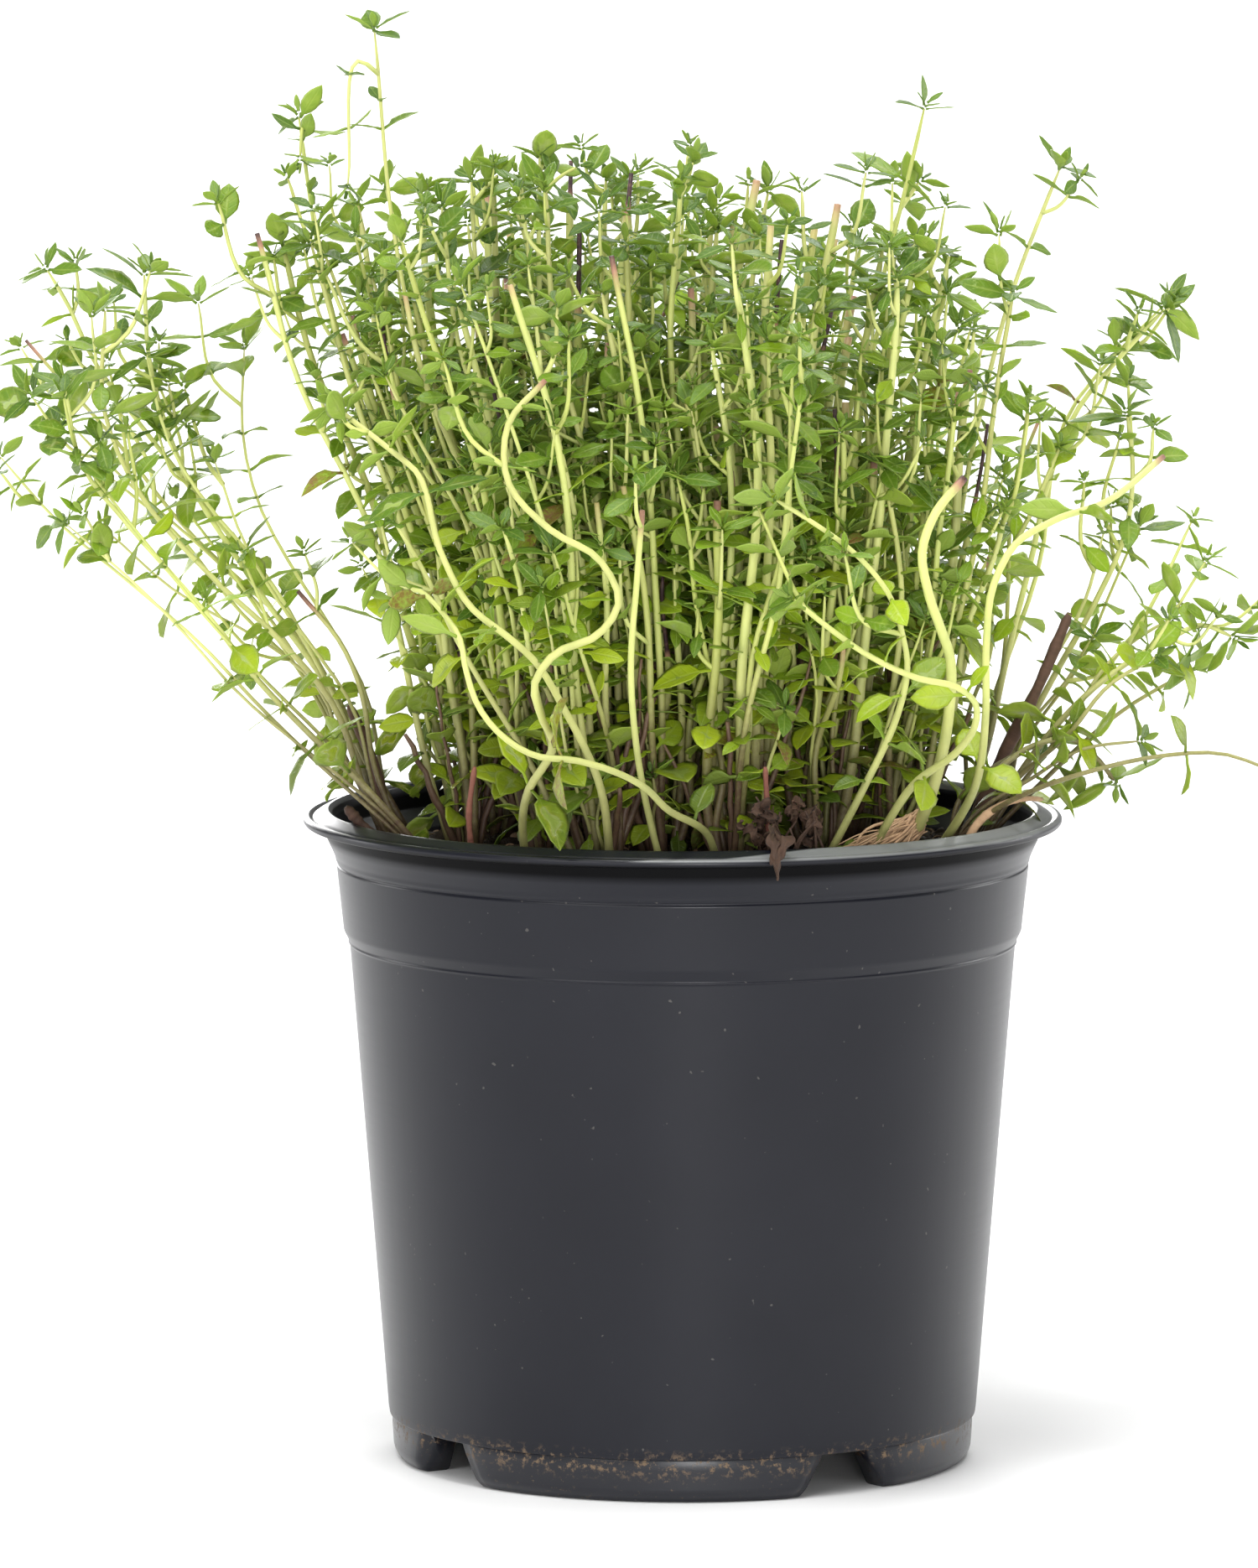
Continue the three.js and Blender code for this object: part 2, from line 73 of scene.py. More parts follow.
CAD_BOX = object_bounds()
MM = 0.001
UP = np.array([0.0, 0.0, 1.0])

# ---- Places taken from the frame, in millimetres ----

POT_LOW, POT_HIGH = (np.array(corner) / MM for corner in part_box("nursery_pot"))
AXIS = np.array([(POT_LOW[0] + POT_HIGH[0]) / 2, (POT_LOW[1] + POT_HIGH[1]) / 2, 0.0])
POT_HEIGHT = POT_HIGH[2]
RIM_RADIUS = (POT_HIGH[0] - POT_LOW[0]) / 2
MOUND_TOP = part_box("potting_soil")[1].z / MM

# ---- Pot outline: the frame's pot, with a round bead along the edge of its lip ----

LIP_WIDTH = 5.0
LIP_HEIGHT = 2.6
BEAD = 0.8
NECK_HEIGHT = 5.4
NECK_FLARE = 1.6
BAND_HEIGHT = 12.7
BAND_TAPER = 1.3
CHAMFER_HEIGHT = 2.1
CHAMFER_STEP = 1.0
WALL_FOOT_RADIUS = 50.5
WALL = 1.0
FLOOR = 1.5
FOOT_HEIGHT = 7.5
FOOT_WIDTH = 6.0
FOOT_INSET = 0.5
FOOT_COUNT = 4
FOOT_GAP_TOP = 10.5
FOOT_GAP_GROUND = 18.5
FOOT_GAP_TURN = 34.5

LIP_BASE = POT_HEIGHT - LIP_HEIGHT
SHOULDER_Z = LIP_BASE - NECK_HEIGHT
BAND_BASE = SHOULDER_Z - BAND_HEIGHT
WALL_TOP = BAND_BASE - CHAMFER_HEIGHT
LIP_INNER = RIM_RADIUS - LIP_WIDTH
NECK_RADIUS = LIP_INNER + WALL
SHOULDER_RADIUS = NECK_RADIUS - NECK_FLARE
BAND_FOOT_RADIUS = SHOULDER_RADIUS - BAND_TAPER
WALL_TOP_RADIUS = BAND_FOOT_RADIUS - CHAMFER_STEP
FLOOR_TOP = FOOT_HEIGHT + FLOOR

SOIL_DROP = 9.0
FIT = 0.3
SOIL_EDGE = POT_HEIGHT - SOIL_DROP
MOUND = MOUND_TOP - SOIL_EDGE
WALL_INNER = SHOULDER_RADIUS - WALL
BED_RADIUS = BAND_FOOT_RADIUS - WALL - FIT

# ---- Plants, on the same routes as the frame's stems ----

SPRIG_COUNT = 29
STEMS_PER_SPRIG = 4
SPRIG_BED = 15.5
TUFT_RADIUS = 3.6
CANOPY = 121.0
CANOPY_FALL = 0.15
SPREAD_X = 0.74
SPREAD_Y = 0.52
SPREAD_POWER = 1.25
SIDE_DRIFT = -5.0
WANDER = 3.2
CROWN_RISE = 1.5
SPRIG_RADIUS = BED_RADIUS - SPRIG_BED + TUFT_RADIUS
GOLDEN_ANGLE = math.pi * (3 - math.sqrt(5))

# Shoots that stand clear above the canopy: plant number and height above the soil's edge.
LEADERS = {12: 143, 17: 127, 8: 128, 21: 118}

# Single shoots outside the body of the bush, from root to tip: (x, y, height above the lip).
SHOOTS = {
    "winding_stem": (
        (-26, -43, -9), (-27, -51, 3), (-26, -60, 10), (-22, -68, 19), (-24, -72, 24), (-25, -74, 29),
        (-22, -75, 34), (-14, -76, 38), (-11, -77, 43), (-14, -77, 50), (-22, -77, 55), (-29, -76, 63),
        (-29, -74, 72), (-23, -70, 79),
    ),
    "slanting_stem": (
        (-12, -49, -9), (-14, -56, 10), (-20, -64, 24), (-25, -70, 33), (-29, -73, 37), (-35, -74, 42),
        (-40, -73, 51), (-44, -72, 64), (-48, -68, 67), (-58, -60, 74),
    ),
    "looping_stem": (
        (6, -49.5, -9), (4, -56, 2), (-3, -65, 7.5), (-7, -71, 12), (-12, -75, 15), (-18, -77, 17),
        (-25, -78, 18), (-31, -78, 22), (-34, -77, 26), (-36, -76, 32), (-37, -74, 37), (-40, -71, 41),
        (-44, -66, 44), (-48, -60, 42),
    ),
    "straight_stem": (
        (-3, -50, -9), (-6, -54, 6), (-8, -60, 18), (-9, -68, 33), (-8, -72, 46), (-7, -74, 58),
    ),
    "sagging_stem": (
        (30, -40, -9), (34, -48, 3), (39, -54, 11), (45, -58, 16), (48, -62, 21), (48, -65, 25),
        (45, -68, 28), (38, -71, 30), (30, -73, 34), (23, -73, 39), (18, -72, 43),
    ),
    "hooked_stem": (
        (41, -29, -9), (49, -45, 10), (50, -54, 22), (50, -60, 35), (51, -62, 44), (54, -60, 50),
        (61, -52, 54), (70, -40, 56), (81, -20, 62),
    ),
    "stout_cut_stem": (
        (36, -34.5, -9), (42, -46, 10), (44, -54, 21), (44, -61, 32), (42, -67, 38), (40, -71, 44),
        (39, -72, 51), (41, -72, 57), (46, -70, 63),
    ),
    "leaning_stem": (
        (22, -45, -9), (30, -53, 10), (35, -57, 21), (37, -63, 30), (36, -70, 37), (33, -76, 45),
        (27, -79, 52), (20, -79, 57), (15, -78, 60),
    ),
    "left_outer_sprig": (
        (-49, -8, -9), (-54, -9, 4), (-59, -9, 18), (-69, -10, 30), (-80, -10, 40), (-93, -10, 56),
        (-98, -10, 69), (-98, -10, 86),
    ),
    "left_fork_sprig": (
        (-50, 4, -9), (-54, 5, 4), (-60, 5, 19), (-74, 5, 39), (-86, 5, 58), (-91, 5, 75), (-92, 5, 91),
    ),
    "left_far_sprig": (
        (-47, 16, -9), (-53, 17, 4), (-58, 18, 14), (-71, 18, 36), (-84, 18, 52), (-94, 17, 65),
        (-101, 16, 75), (-106, 15, 86), (-109, 15, 91),
    ),
    "left_low_sprig": (
        (-42, -26.5, -9), (-52, -29, 5), (-63, -29, 16), (-73, -29, 27), (-78, -30, 34), (-85, -30, 42),
        (-94, -30, 52), (-101, -30, 61), (-104, -30, 75),
    ),
    "right_high_sprig": (
        (47, 16, -9), (52, 18, 6), (56, 20, 22), (60, 21, 40), (63, 22, 54), (68, 22, 66), (75, 21, 75),
        (83, 20, 84),
    ),
    "right_outer_sprig": (
        (50, 2, -9), (56, 3, 8), (63, 4, 21), (71, 4, 35), (76, 4, 47), (77, 4, 58), (76, 4, 67),
    ),
    "right_trailing_sprig": (
        (49, -10, -9), (57, -13, 7), (64, -15, 16), (73, -16, 25), (83, -15, 31), (88, -15, 33),
        (93, -15, 31),
    ),
    "right_drooping_sprig": (
        (44, -20, -9), (48, -20, 3), (55, -20, 10), (60, -20, 13), (66, -20, 14), (70, -20, 11),
        (73, -20, 7),
    ),
    "back_left_sprig": ((-25, 43, -9), (-30, 54, 10), (-37, 64, 34), (-42, 72, 58), (-45, 76, 82)),
    "back_middle_sprig": ((3, 50, -9), (4, 58, 12), (6, 68, 38), (4, 76, 60), (2, 78, 90)),
    "back_right_sprig": ((30, 40, -9), (36, 51, 10), (43, 61, 32), (49, 69, 54), (52, 74, 76)),
}

# Furthest that leaves and twigs may reach: the frame's box, a share of each side and a margin in mm.
BOX_SHARE = 0.03
BOX_MARGIN = 7.0
REACH = np.array([list(CAD_BOX[0]), list(CAD_BOX[1])]) / MM - AXIS
REACH += np.array([[-1.0], [1.0]]) * (BOX_SHARE * (REACH[1] - REACH[0]) + BOX_MARGIN)


def unit(vectors):
    """Vectors over their own length."""
    return vectors / np.maximum(np.linalg.norm(vectors, axis=-1, keepdims=True), 1e-9)


def scatter(seed):
    """The fraction of 43758.5453 sin(12.9898 seed + 78.233): a repeatable value from 0 to 1."""
    wave = np.sin(seed * 12.9898 + 78.233) * 43758.5453
    return wave - np.floor(wave)


def soil_top(x, y):
    """Mound: its full rise in the middle, falling with the 2.4th power of the distance from the axis."""
    share = np.minimum(1.0, np.hypot(x, y) / BED_RADIUS)
    return SOIL_EDGE + MOUND * (1 - share**2.4)


def lane(x, y, rise):
    """Flow of the bush at a height above the soil's edge: a root's place, spread outwards with the height
    to the power 1.25, leant to one side and bent by one slow wave that neighbours share."""
    up = np.maximum(0.0, rise) / CANOPY
    opened = up**SPREAD_POWER
    bend = WANDER * up
    return np.stack(
        [
            x * (1 + SPREAD_X * opened) + SIDE_DRIFT * opened + bend * np.sin(rise * 0.06 + y * 0.05),
            y * (1 + SPREAD_Y * opened) + bend * np.cos(rise * 0.05 + x * 0.05 + 1),
            SOIL_EDGE + rise,
        ],
        axis=-1,
    )


def canopy_at(x, y):
    """Canopy: its full height in the middle, lower with the square of the distance and a little to +X."""
    share = np.hypot(x, y) / SPRIG_RADIUS
    return CANOPY * (1 - CANOPY_FALL * share**2 - 0.05 * (x / SPRIG_RADIUS))


def sprig_routes(index):
    """Root point and the stem routes of one plant: roots stand on a golden-angle spiral."""
    ring = (SPRIG_RADIUS - TUFT_RADIUS) * math.sqrt((index + 0.5) / SPRIG_COUNT)
    turn = index * GOLDEN_ANGLE
    x, y = ring * math.cos(turn), ring * math.sin(turn)
    start = float(soil_top(x, y)) - SOIL_EDGE + CROWN_RISE / 2
    share = np.array([0, 0.1, 0.3, 0.55, 0.78, 1])
    leave = np.minimum(1.0, 0.66 + share * 3)
    routes = []
    for i in range(STEMS_PER_SPRIG):
        side = turn + (i + 0.25 * scatter(index * 7 + i)) * 2 * math.pi / STEMS_PER_SPRIG
        root = TUFT_RADIUS * math.cos(side), TUFT_RADIUS * math.sin(side)
        short = 0.04 if i == 0 else 0.42
        height = canopy_at(x + root[0], y + root[1]) * (1 - short * scatter(index * 31 + i * 5 + 2))
        if i == 0 and index in LEADERS:
            height = LEADERS[index]
        rise = start + (height - start) * share
        routes.append(lane(x + root[0] * leave, y + root[1] * leave, rise))
    return (x, y), routes


def shoot_route(name):
    """A single shoot's route, rooted in the mound."""
    route = np.array(SHOOTS[name], float) + (0, 0, POT_HEIGHT)
    route[0, 2] = soil_top(*route[0, :2]) + CROWN_RISE / 2
    return route


def smooth_path(points, count):
    """Cubic Hermite curve through the points at even steps of their chord length."""
    points = np.asarray(points, float)
    reach = np.concatenate([[0], np.cumsum(np.linalg.norm(np.diff(points, axis=0), axis=1))])
    slope = np.gradient(points, reach, axis=0)
    at = np.linspace(0, reach[-1], count)
    k = np.clip(np.searchsorted(reach, at, side="right") - 1, 0, len(points) - 2)
    step = (reach[k + 1] - reach[k])[:, None]
    u = (at - reach[k])[:, None] / step
    return (
        (2 * u**3 - 3 * u**2 + 1) * points[k]
        + (u**3 - 2 * u**2 + u) * step * slope[k]
        + (3 * u**2 - 2 * u**3) * points[k + 1]
        + (u**3 - u**2) * step * slope[k + 1]
    )


# ---- Meshes ----


class Batch:
    """Vertices, faces, tints and surface coordinates of one piece, gathered as arrays."""

    def __init__(self):
        self.count = 0
        self.points, self.faces, self.tints, self.along, self.slots = [], [], [], [], []

    def add(self, points, faces, tint=None, along=None, slot=0):
        """points (n, 3) in mm; faces is a list of index arrays (m, k); tint (n, 4); along (n, 2)."""
        total = len(points)
        self.points.append(points)
        self.tints.append(np.zeros((total, 4)) if tint is None else tint)
        self.along.append(np.zeros((total, 2)) if along is None else along)
        for group in faces:
            if len(group):
                self.faces.append(np.asarray(group) + self.count)
                self.slots.append(np.full(len(group), slot))
        self.count += total

    def build(self, name, materials, smooth=True):
        """The piece as one mesh object at the origin."""
        points = np.concatenate(self.points) + AXIS
        corners = np.concatenate([group.reshape(-1) for group in self.faces])
        sizes = np.concatenate([np.full(len(group), group.shape[1]) for group in self.faces])
        starts = np.concatenate([[0], np.cumsum(sizes)[:-1]])
        mesh = bpy.data.meshes.new(name)
        mesh.vertices.add(len(points))
        mesh.vertices.foreach_set("co", (points * MM).astype(np.float32).reshape(-1))
        mesh.loops.add(len(corners))
        mesh.loops.foreach_set("vertex_index", corners.astype(np.int32))
        mesh.polygons.add(len(sizes))
        mesh.polygons.foreach_set("loop_start", starts.astype(np.int32))
        for material in materials:
            mesh.materials.append(material)
        mesh.polygons.foreach_set("material_index", np.concatenate(self.slots).astype(np.int32))
        mesh.polygons.foreach_set("use_smooth", np.full(len(sizes), smooth))
        mesh.update(calc_edges=True)
        tint = mesh.attributes.new("tint", "FLOAT_COLOR", "POINT")
        tint.data.foreach_set("color", np.concatenate(self.tints).astype(np.float32).reshape(-1))
        along = mesh.uv_layers.new(name="along")
        along.data.foreach_set("uv", np.concatenate(self.along)[corners].astype(np.float32).reshape(-1))
        piece = bpy.data.objects.new(name, mesh)
        bpy.context.scene.collection.objects.link(piece)
        return piece


def grid_faces(rings, around, copies=1):
    """Quads between rings of points, and a cap polygon at each end, for copies of one closed tube."""
    ring = np.arange(rings - 1)[:, None] * around
    step = np.arange(around)[None, :]
    after = (step + 1) % around
    quads = np.stack([ring + step, ring + after, ring + around + after, ring + around + step], -1)
    quads = quads.reshape(-1, 4)
    first = np.arange(around)[::-1][None, :]
    last = (np.arange(around) + (rings - 1) * around)[None, :]
    shift = (np.arange(copies) * rings * around)[:, None, None]
    return [
        (quads[None] + shift).reshape(-1, 4),
        (first[None] + shift).reshape(-1, around),
        (last[None] + shift).reshape(-1, around),
    ]


def carried_frames(paths):
    """Two directions across each path, carried along it without twist. paths is (copies, rings, 3)."""
    tangent = unit(np.gradient(paths, axis=1))
    across = np.zeros_like(paths)
    start = np.cross(tangent[:, 0], np.array([0.3, 1.0, 0.2]))
    across[:, 0] = unit(start)
    for ring in range(1, paths.shape[1]):
        carried = across[:, ring - 1]
        along = (carried * tangent[:, ring]).sum(-1, keepdims=True)
        across[:, ring] = unit(carried - along * tangent[:, ring])
    return tangent, across, np.cross(tangent, across)


def add_tubes(batch, paths, radii, sides=7, tint=None, slot=0, squareness=0.05, flat=1.0):
    """Closed tubes: on each path point a ring of radius r (1 + squareness cos 4a) at angle a, flattened in
    one direction. tint is (copies, rings, 4) or (copies, 4)."""
    paths, radii = np.asarray(paths, float), np.asarray(radii, float)
    copies, rings = paths.shape[:2]
    angle = np.arange(sides) * 2 * math.pi / sides
    _, across, up = carried_frames(paths)
    reach = radii[..., None] * (1 + squareness * np.cos(4 * angle))
    points = (
        paths[:, :, None]
        + across[:, :, None] * (reach * np.cos(angle))[..., None]
        + up[:, :, None] * (flat * reach * np.sin(angle))[..., None]
    )
    if tint is None:
        tint = np.zeros((copies, rings, 4))
    tint = np.asarray(tint, float)
    if tint.ndim == 2:
        tint = np.repeat(tint[:, None], rings, axis=1)
    tint = np.repeat(tint[:, :, None], sides, axis=2)
    length = np.concatenate(
        [np.zeros((copies, 1)), np.cumsum(np.linalg.norm(np.diff(paths, axis=1), axis=-1), axis=1)], axis=1
    )
    turn = np.broadcast_to(np.abs(np.linspace(-1, 1, sides)), (copies, rings, sides))
    along = np.stack([turn, np.broadcast_to(length[..., None] * 0.1, turn.shape)], -1)
    batch.add(
        points.reshape(-1, 3),
        grid_faces(rings, sides, copies),
        tint.reshape(-1, 4),
        along.reshape(-1, 2),
        slot,
    )


LEAF_STATIONS = np.array([0.0, 0.12, 0.22, 0.36, 0.54, 0.72, 0.88, 1.0])
LEAF_SIDES = 8
PETIOLE_HALF_WIDTH = 0.32
PETIOLE_HALF_THICK = 0.26
BLADE_HALF_THICK = 0.13
TIP_HALF_WIDTH = 0.03


def add_leaves(batch, leaves, slot=1):
    """Closed leaf blades. At a share s of the length the half width is a thin petiole up to share p and then
    W/2 sin(pi t^shape)^blunt, with t the share of the blade. The section is a flat lens, folded up along the
    midrib and dented along it above, with a faint wave at its edge. The blade bows down with the square of s
    and arches with s (1 - s)."""
    base, direction, normal = (np.array([leaf[k] for leaf in leaves]) for k in ("base", "dir", "up"))
    length, width, petiole, fold, bow, shape, curl, blunt = (
        np.array([leaf[k] for leaf in leaves])[:, None]
        for k in ("length", "width", "petiole", "fold", "bow", "shape", "curl", "blunt")
    )
    tint = np.array([leaf["tint"] for leaf in leaves])
    count = len(leaves)
    direction = unit(direction)
    side = unit(np.cross(normal, direction))
    up = np.cross(direction, side)
    share = LEAF_STATIONS[None, :]
    blade = np.clip((share - petiole) / (1 - petiole), 0, 1)
    half = width / 2 * np.sin(math.pi * blade**shape).clip(0) ** blunt
    half = np.maximum(half, np.where(share < 0.95, PETIOLE_HALF_WIDTH, TIP_HALF_WIDTH))
    thick = np.where(share < petiole, PETIOLE_HALF_THICK, BLADE_HALF_THICK) * np.where(share > 0.95, 0.3, 1.0)
    angle = np.arange(LEAF_SIDES) * 2 * math.pi / LEAF_SIDES
    cross, rise = np.cos(angle), np.sin(angle)
    centre = base[:, None] + direction[:, None] * (share * length)[..., None]
    sink = -bow * length * share**2 + curl * length * (share * (1 - share))
    centre = centre + up[:, None] * sink[..., None]
    offset = half[..., None] * cross
    lift = (
        thick[..., None] * rise
        + fold[..., None] * np.abs(offset)
        - 0.1 * half[..., None] * (1 - np.abs(cross)) * (rise > 0)
        + 0.05 * half[..., None] * np.sin(share[..., None] * 17 + tint[:, 1, None, None] * 40) * np.abs(cross)
    )
    points = centre[:, :, None] + side[:, None, None] * offset[..., None]
    points = points + up[:, None, None] * lift[..., None]
    shade = np.repeat(tint[:, None], len(LEAF_STATIONS), axis=1)
    shade = np.repeat(shade[:, :, None], LEAF_SIDES, axis=2)
    shade[..., 3] = (rise + 1) / 2
    along = np.stack(
        [
            np.broadcast_to(blade[..., None], offset.shape),
            np.broadcast_to((cross + 1) / 2, offset.shape),
        ],
        -1,
    )
    batch.add(
        points.reshape(-1, 3),
        grid_faces(len(LEAF_STATIONS), LEAF_SIDES, count),
        shade.reshape(-1, 4),
        along.reshape(-1, 2),
        slot,
    )


# ---- Shader nodes ----


class Value:
    """A socket that adds Math nodes when it is used in an expression."""

    def __init__(self, graph, socket):
        self.graph, self.socket = graph, socket

    def _math(self, operation, *values):
        return self.graph.add("ShaderNodeMath", {"operation": operation}, dict(enumerate(values)))[0]

    def __add__(self, other):
        return self._math("ADD", self, other)

    def __radd__(self, other):
        return self._math("ADD", other, self)

    def __sub__(self, other):
        return self._math("SUBTRACT", self, other)

    def __rsub__(self, other):
        return self._math("SUBTRACT", other, self)

    def __mul__(self, other):
        return self._math("MULTIPLY", self, other)

    def __rmul__(self, other):
        return self._math("MULTIPLY", other, self)

    def clamp(self):
        return self._math("MAXIMUM", self._math("MINIMUM", self, 1.0), 0.0)

    def absolute(self):
        return self._math("ABSOLUTE", self)

    def sine(self):
        return self._math("SINE", self)

    def ramp(self, low, high):
        """0 at low, 1 at high and a straight line between them. Low may be the larger of the two."""
        return ((self - low) * (1.0 / (high - low))).clamp()


class Finish:
    """A material under construction, with one Principled shader."""

    def __init__(self, name, roughness=0.5):
        self.material = bpy.data.materials.new(name)
        self.material.use_nodes = True
        self.tree = self.material.node_tree
        self.shader = self.tree.nodes["Principled BSDF"]
        self.shader.inputs["Roughness"].default_value = roughness

    def add(self, kind, settings=None, inputs=None):
        """Any node: its settings first, then values or links for its inputs. Returns its outputs."""
        node = self.tree.nodes.new(kind)
        for key, value in (settings or {}).items():
            setattr(node, key, value)
        for key, value in (inputs or {}).items():
            if isinstance(value, Value):
                self.tree.links.new(value.socket, node.inputs[key])
            else:
                node.inputs[key].default_value = value
        return [Value(self, socket) for socket in node.outputs if socket.enabled]

    def place(self, scale=1.0):
        """Object coordinates in millimetres over a scale."""
        where = self.add("ShaderNodeTexCoord")[3]
        size = (1 / MM / scale,) * 3
        return self.add("ShaderNodeMapping", None, {"Vector": where, "Scale": size})[0]

    def height(self):
        """Height above the ground in millimetres."""
        return self.add("ShaderNodeSeparateXYZ", None, {0: self.place()})[2]

    def surface(self):
        """The piece's own coordinates, along and across."""
        uv = self.add("ShaderNodeUVMap", {"uv_map": "along"})[0]
        return self.add("ShaderNodeSeparateXYZ", None, {0: uv})[:2]

    def tint(self):
        """The four values painted on the piece's points."""
        attribute = self.add("ShaderNodeAttribute", {"attribute_name": "tint"})
        parts = self.add("ShaderNodeSeparateColor", None, {0: attribute[0]})
        return parts[0], parts[1], parts[2], attribute[3]

    def noise(self, scale, detail=3.0, rough=0.5, where=None):
        """Cloudy noise from 0 to 1 whose grains are about scale millimetres across."""
        where = where or self.place(scale)
        return self.add(
            "ShaderNodeTexNoise", None, {"Vector": where, "Scale": 1.0, "Detail": detail, "Roughness": rough}
        )[0]

    def mix(self, factor, a, b):
        """Colour a where factor is 0 and b where it is 1."""
        inputs = {0: factor, 6: self.paint(a), 7: self.paint(b)}
        return self.add("ShaderNodeMix", {"data_type": "RGBA"}, inputs)[0]

    def paint(self, colour):
        """A colour fit for a socket: a value as it is, or three numbers with full alpha."""
        return colour if isinstance(colour, Value) else (*colour, 1)

    def bump(self, height, strength, distance_mm):
        """Relief in the shading only."""
        normal = self.add(
            "ShaderNodeBump", None, {"Height": height, "Strength": strength, "Distance": distance_mm * MM}
        )[0]
        self.set("Normal", normal)

    def set(self, key, value):
        """Link a value to one of the shader's sockets, or set a plain number there."""
        if isinstance(value, Value):
            self.tree.links.new(value.socket, self.shader.inputs[key])
        else:
            self.shader.inputs[key].default_value = value


# Colours that the finishes mix in over the ones that a user may change.
DEEP_GREEN = (0.03, 0.085, 0.006)
VEIN_GREEN = (0.4, 0.5, 0.12)
FRECKLE_GREEN = (0.5, 0.62, 0.26)
PAINTED_SHADE_GREEN = (0.02, 0.036, 0.006)
# Painted shade for the leaves near the soil.
WITHERED_BROWN = (0.2, 0.09, 0.035)
CLOUD_GREEN = (0.3, 0.4, 0.1)
WOOD_BROWN = (0.13, 0.075, 0.04)
BLUSH_PURPLE = (0.16, 0.075, 0.055)
CUT_PINK = (0.42, 0.22, 0.14)
CUT_BLACK = (0.035, 0.012, 0.016)
# Painted shade for the stems near the soil.
PAINTED_SHADE_BROWN = (0.035, 0.02, 0.012)
SPECK_GREY = (0.3, 0.28, 0.25)
DUST_BROWN = (0.24, 0.17, 0.11)
# Pale grey for a painted highlight along the lip's bead.
PAINTED_HIGHLIGHT_GREY = (0.2, 0.205, 0.21)
# Near-black painted shade under the lip.
UNDER_LIP_PAINTED_SHADE = (0.001, 0.001, 0.0015)
PEAT_BLACK = (0.006, 0.004, 0.003)
PEAT_BROWN = (0.055, 0.033, 0.02)
DRY_PEAT = (0.1, 0.062, 0.035)
PALE_CRUMB = (0.3, 0.19, 0.11)
STONE_BROWN = (0.2, 0.14, 0.09)
STONE_TAN = (0.42, 0.32, 0.22)
STONE_FRECKLE = (0.09, 0.06, 0.045)
BARK_TONES = (0.02, 0.01, 0.008), (0.16, 0.085, 0.055)
RUST_TONES = (0.11, 0.03, 0.02), (0.3, 0.12, 0.08)
STRAW_TONES = (0.2, 0.1, 0.05), (0.62, 0.42, 0.25)
DEAD_LEAF_TONES = (0.012, 0.006, 0.004), (0.11, 0.055, 0.03)
FLOOR_WHITE = (0.9, 0.9, 0.9)


def leaf_finish(colours):
    """Waxy leaf: dark to yellow green by age, mottled, paler below, with a midrib and side veins, and
    darkened near the soil by painted shade."""
    leaf = Finish("thyme_leaf")
    leaf.set("Specular IOR Level", 0.36)
    leaf.set("Subsurface Weight", 0.22)
    leaf.set("Subsurface Radius", (0.9, 1.2, 0.35))
    leaf.set("Subsurface Scale", 1.2 * MM)
    age, chance, dead, top = leaf.tint()
    along, across = leaf.surface()
    soft = leaf.noise(3.0, 2.0)
    fine = leaf.noise(0.7, 3.0, 0.6)
    young = leaf.mix((age * 2).clamp(), colours.leaf_dark, colours.leaf_mid)
    tone = leaf.mix((age * 2 - 1).clamp(), young, colours.leaf_yellow)
    tone = leaf.mix(((chance - 0.4) * 1.2 + (soft - 0.5) * 0.6).clamp(), tone, DEEP_GREEN)
    spine = (across - 0.5).absolute() * 2
    midrib = 1 - spine.ramp(0.02, 0.16)
    wave = (along * 34 - spine * 7).sine()
    vein = wave.ramp(0.55, 1.0) * spine.ramp(0.05, 0.3)
    tone = leaf.mix(midrib * 0.28 + vein * 0.06, tone, VEIN_GREEN)
    freckle = fine.ramp(0.56, 0.7) * soft.ramp(0.45, 0.6)
    tone = leaf.mix(freckle * 0.28, tone, FRECKLE_GREEN)
    tone = leaf.mix((1 - top).ramp(0.35, 0.65) * 0.72, tone, colours.leaf_under)
    brown = (fine * 0.6 + soft * 0.4).ramp(0.62, 0.4) * dead
    tone = leaf.mix(brown.clamp(), tone, WITHERED_BROWN)
    # Painted shade: leaves darken towards the soil, where the bush's own shade falls.
    low = leaf.height().ramp(POT_HEIGHT + 30, POT_HEIGHT - 4)
    tone = leaf.mix(low * (0.35 + chance * 0.5), tone, PAINTED_SHADE_GREEN)
    leaf.set("Base Color", tone)
    leaf.set("Roughness", 0.3 + fine * 0.2 + (1 - top) * 0.16)
    leaf.bump(1 - midrib * 0.8 - vein * 0.5 + fine * 0.4, 0.5, 0.14)
    return leaf.material


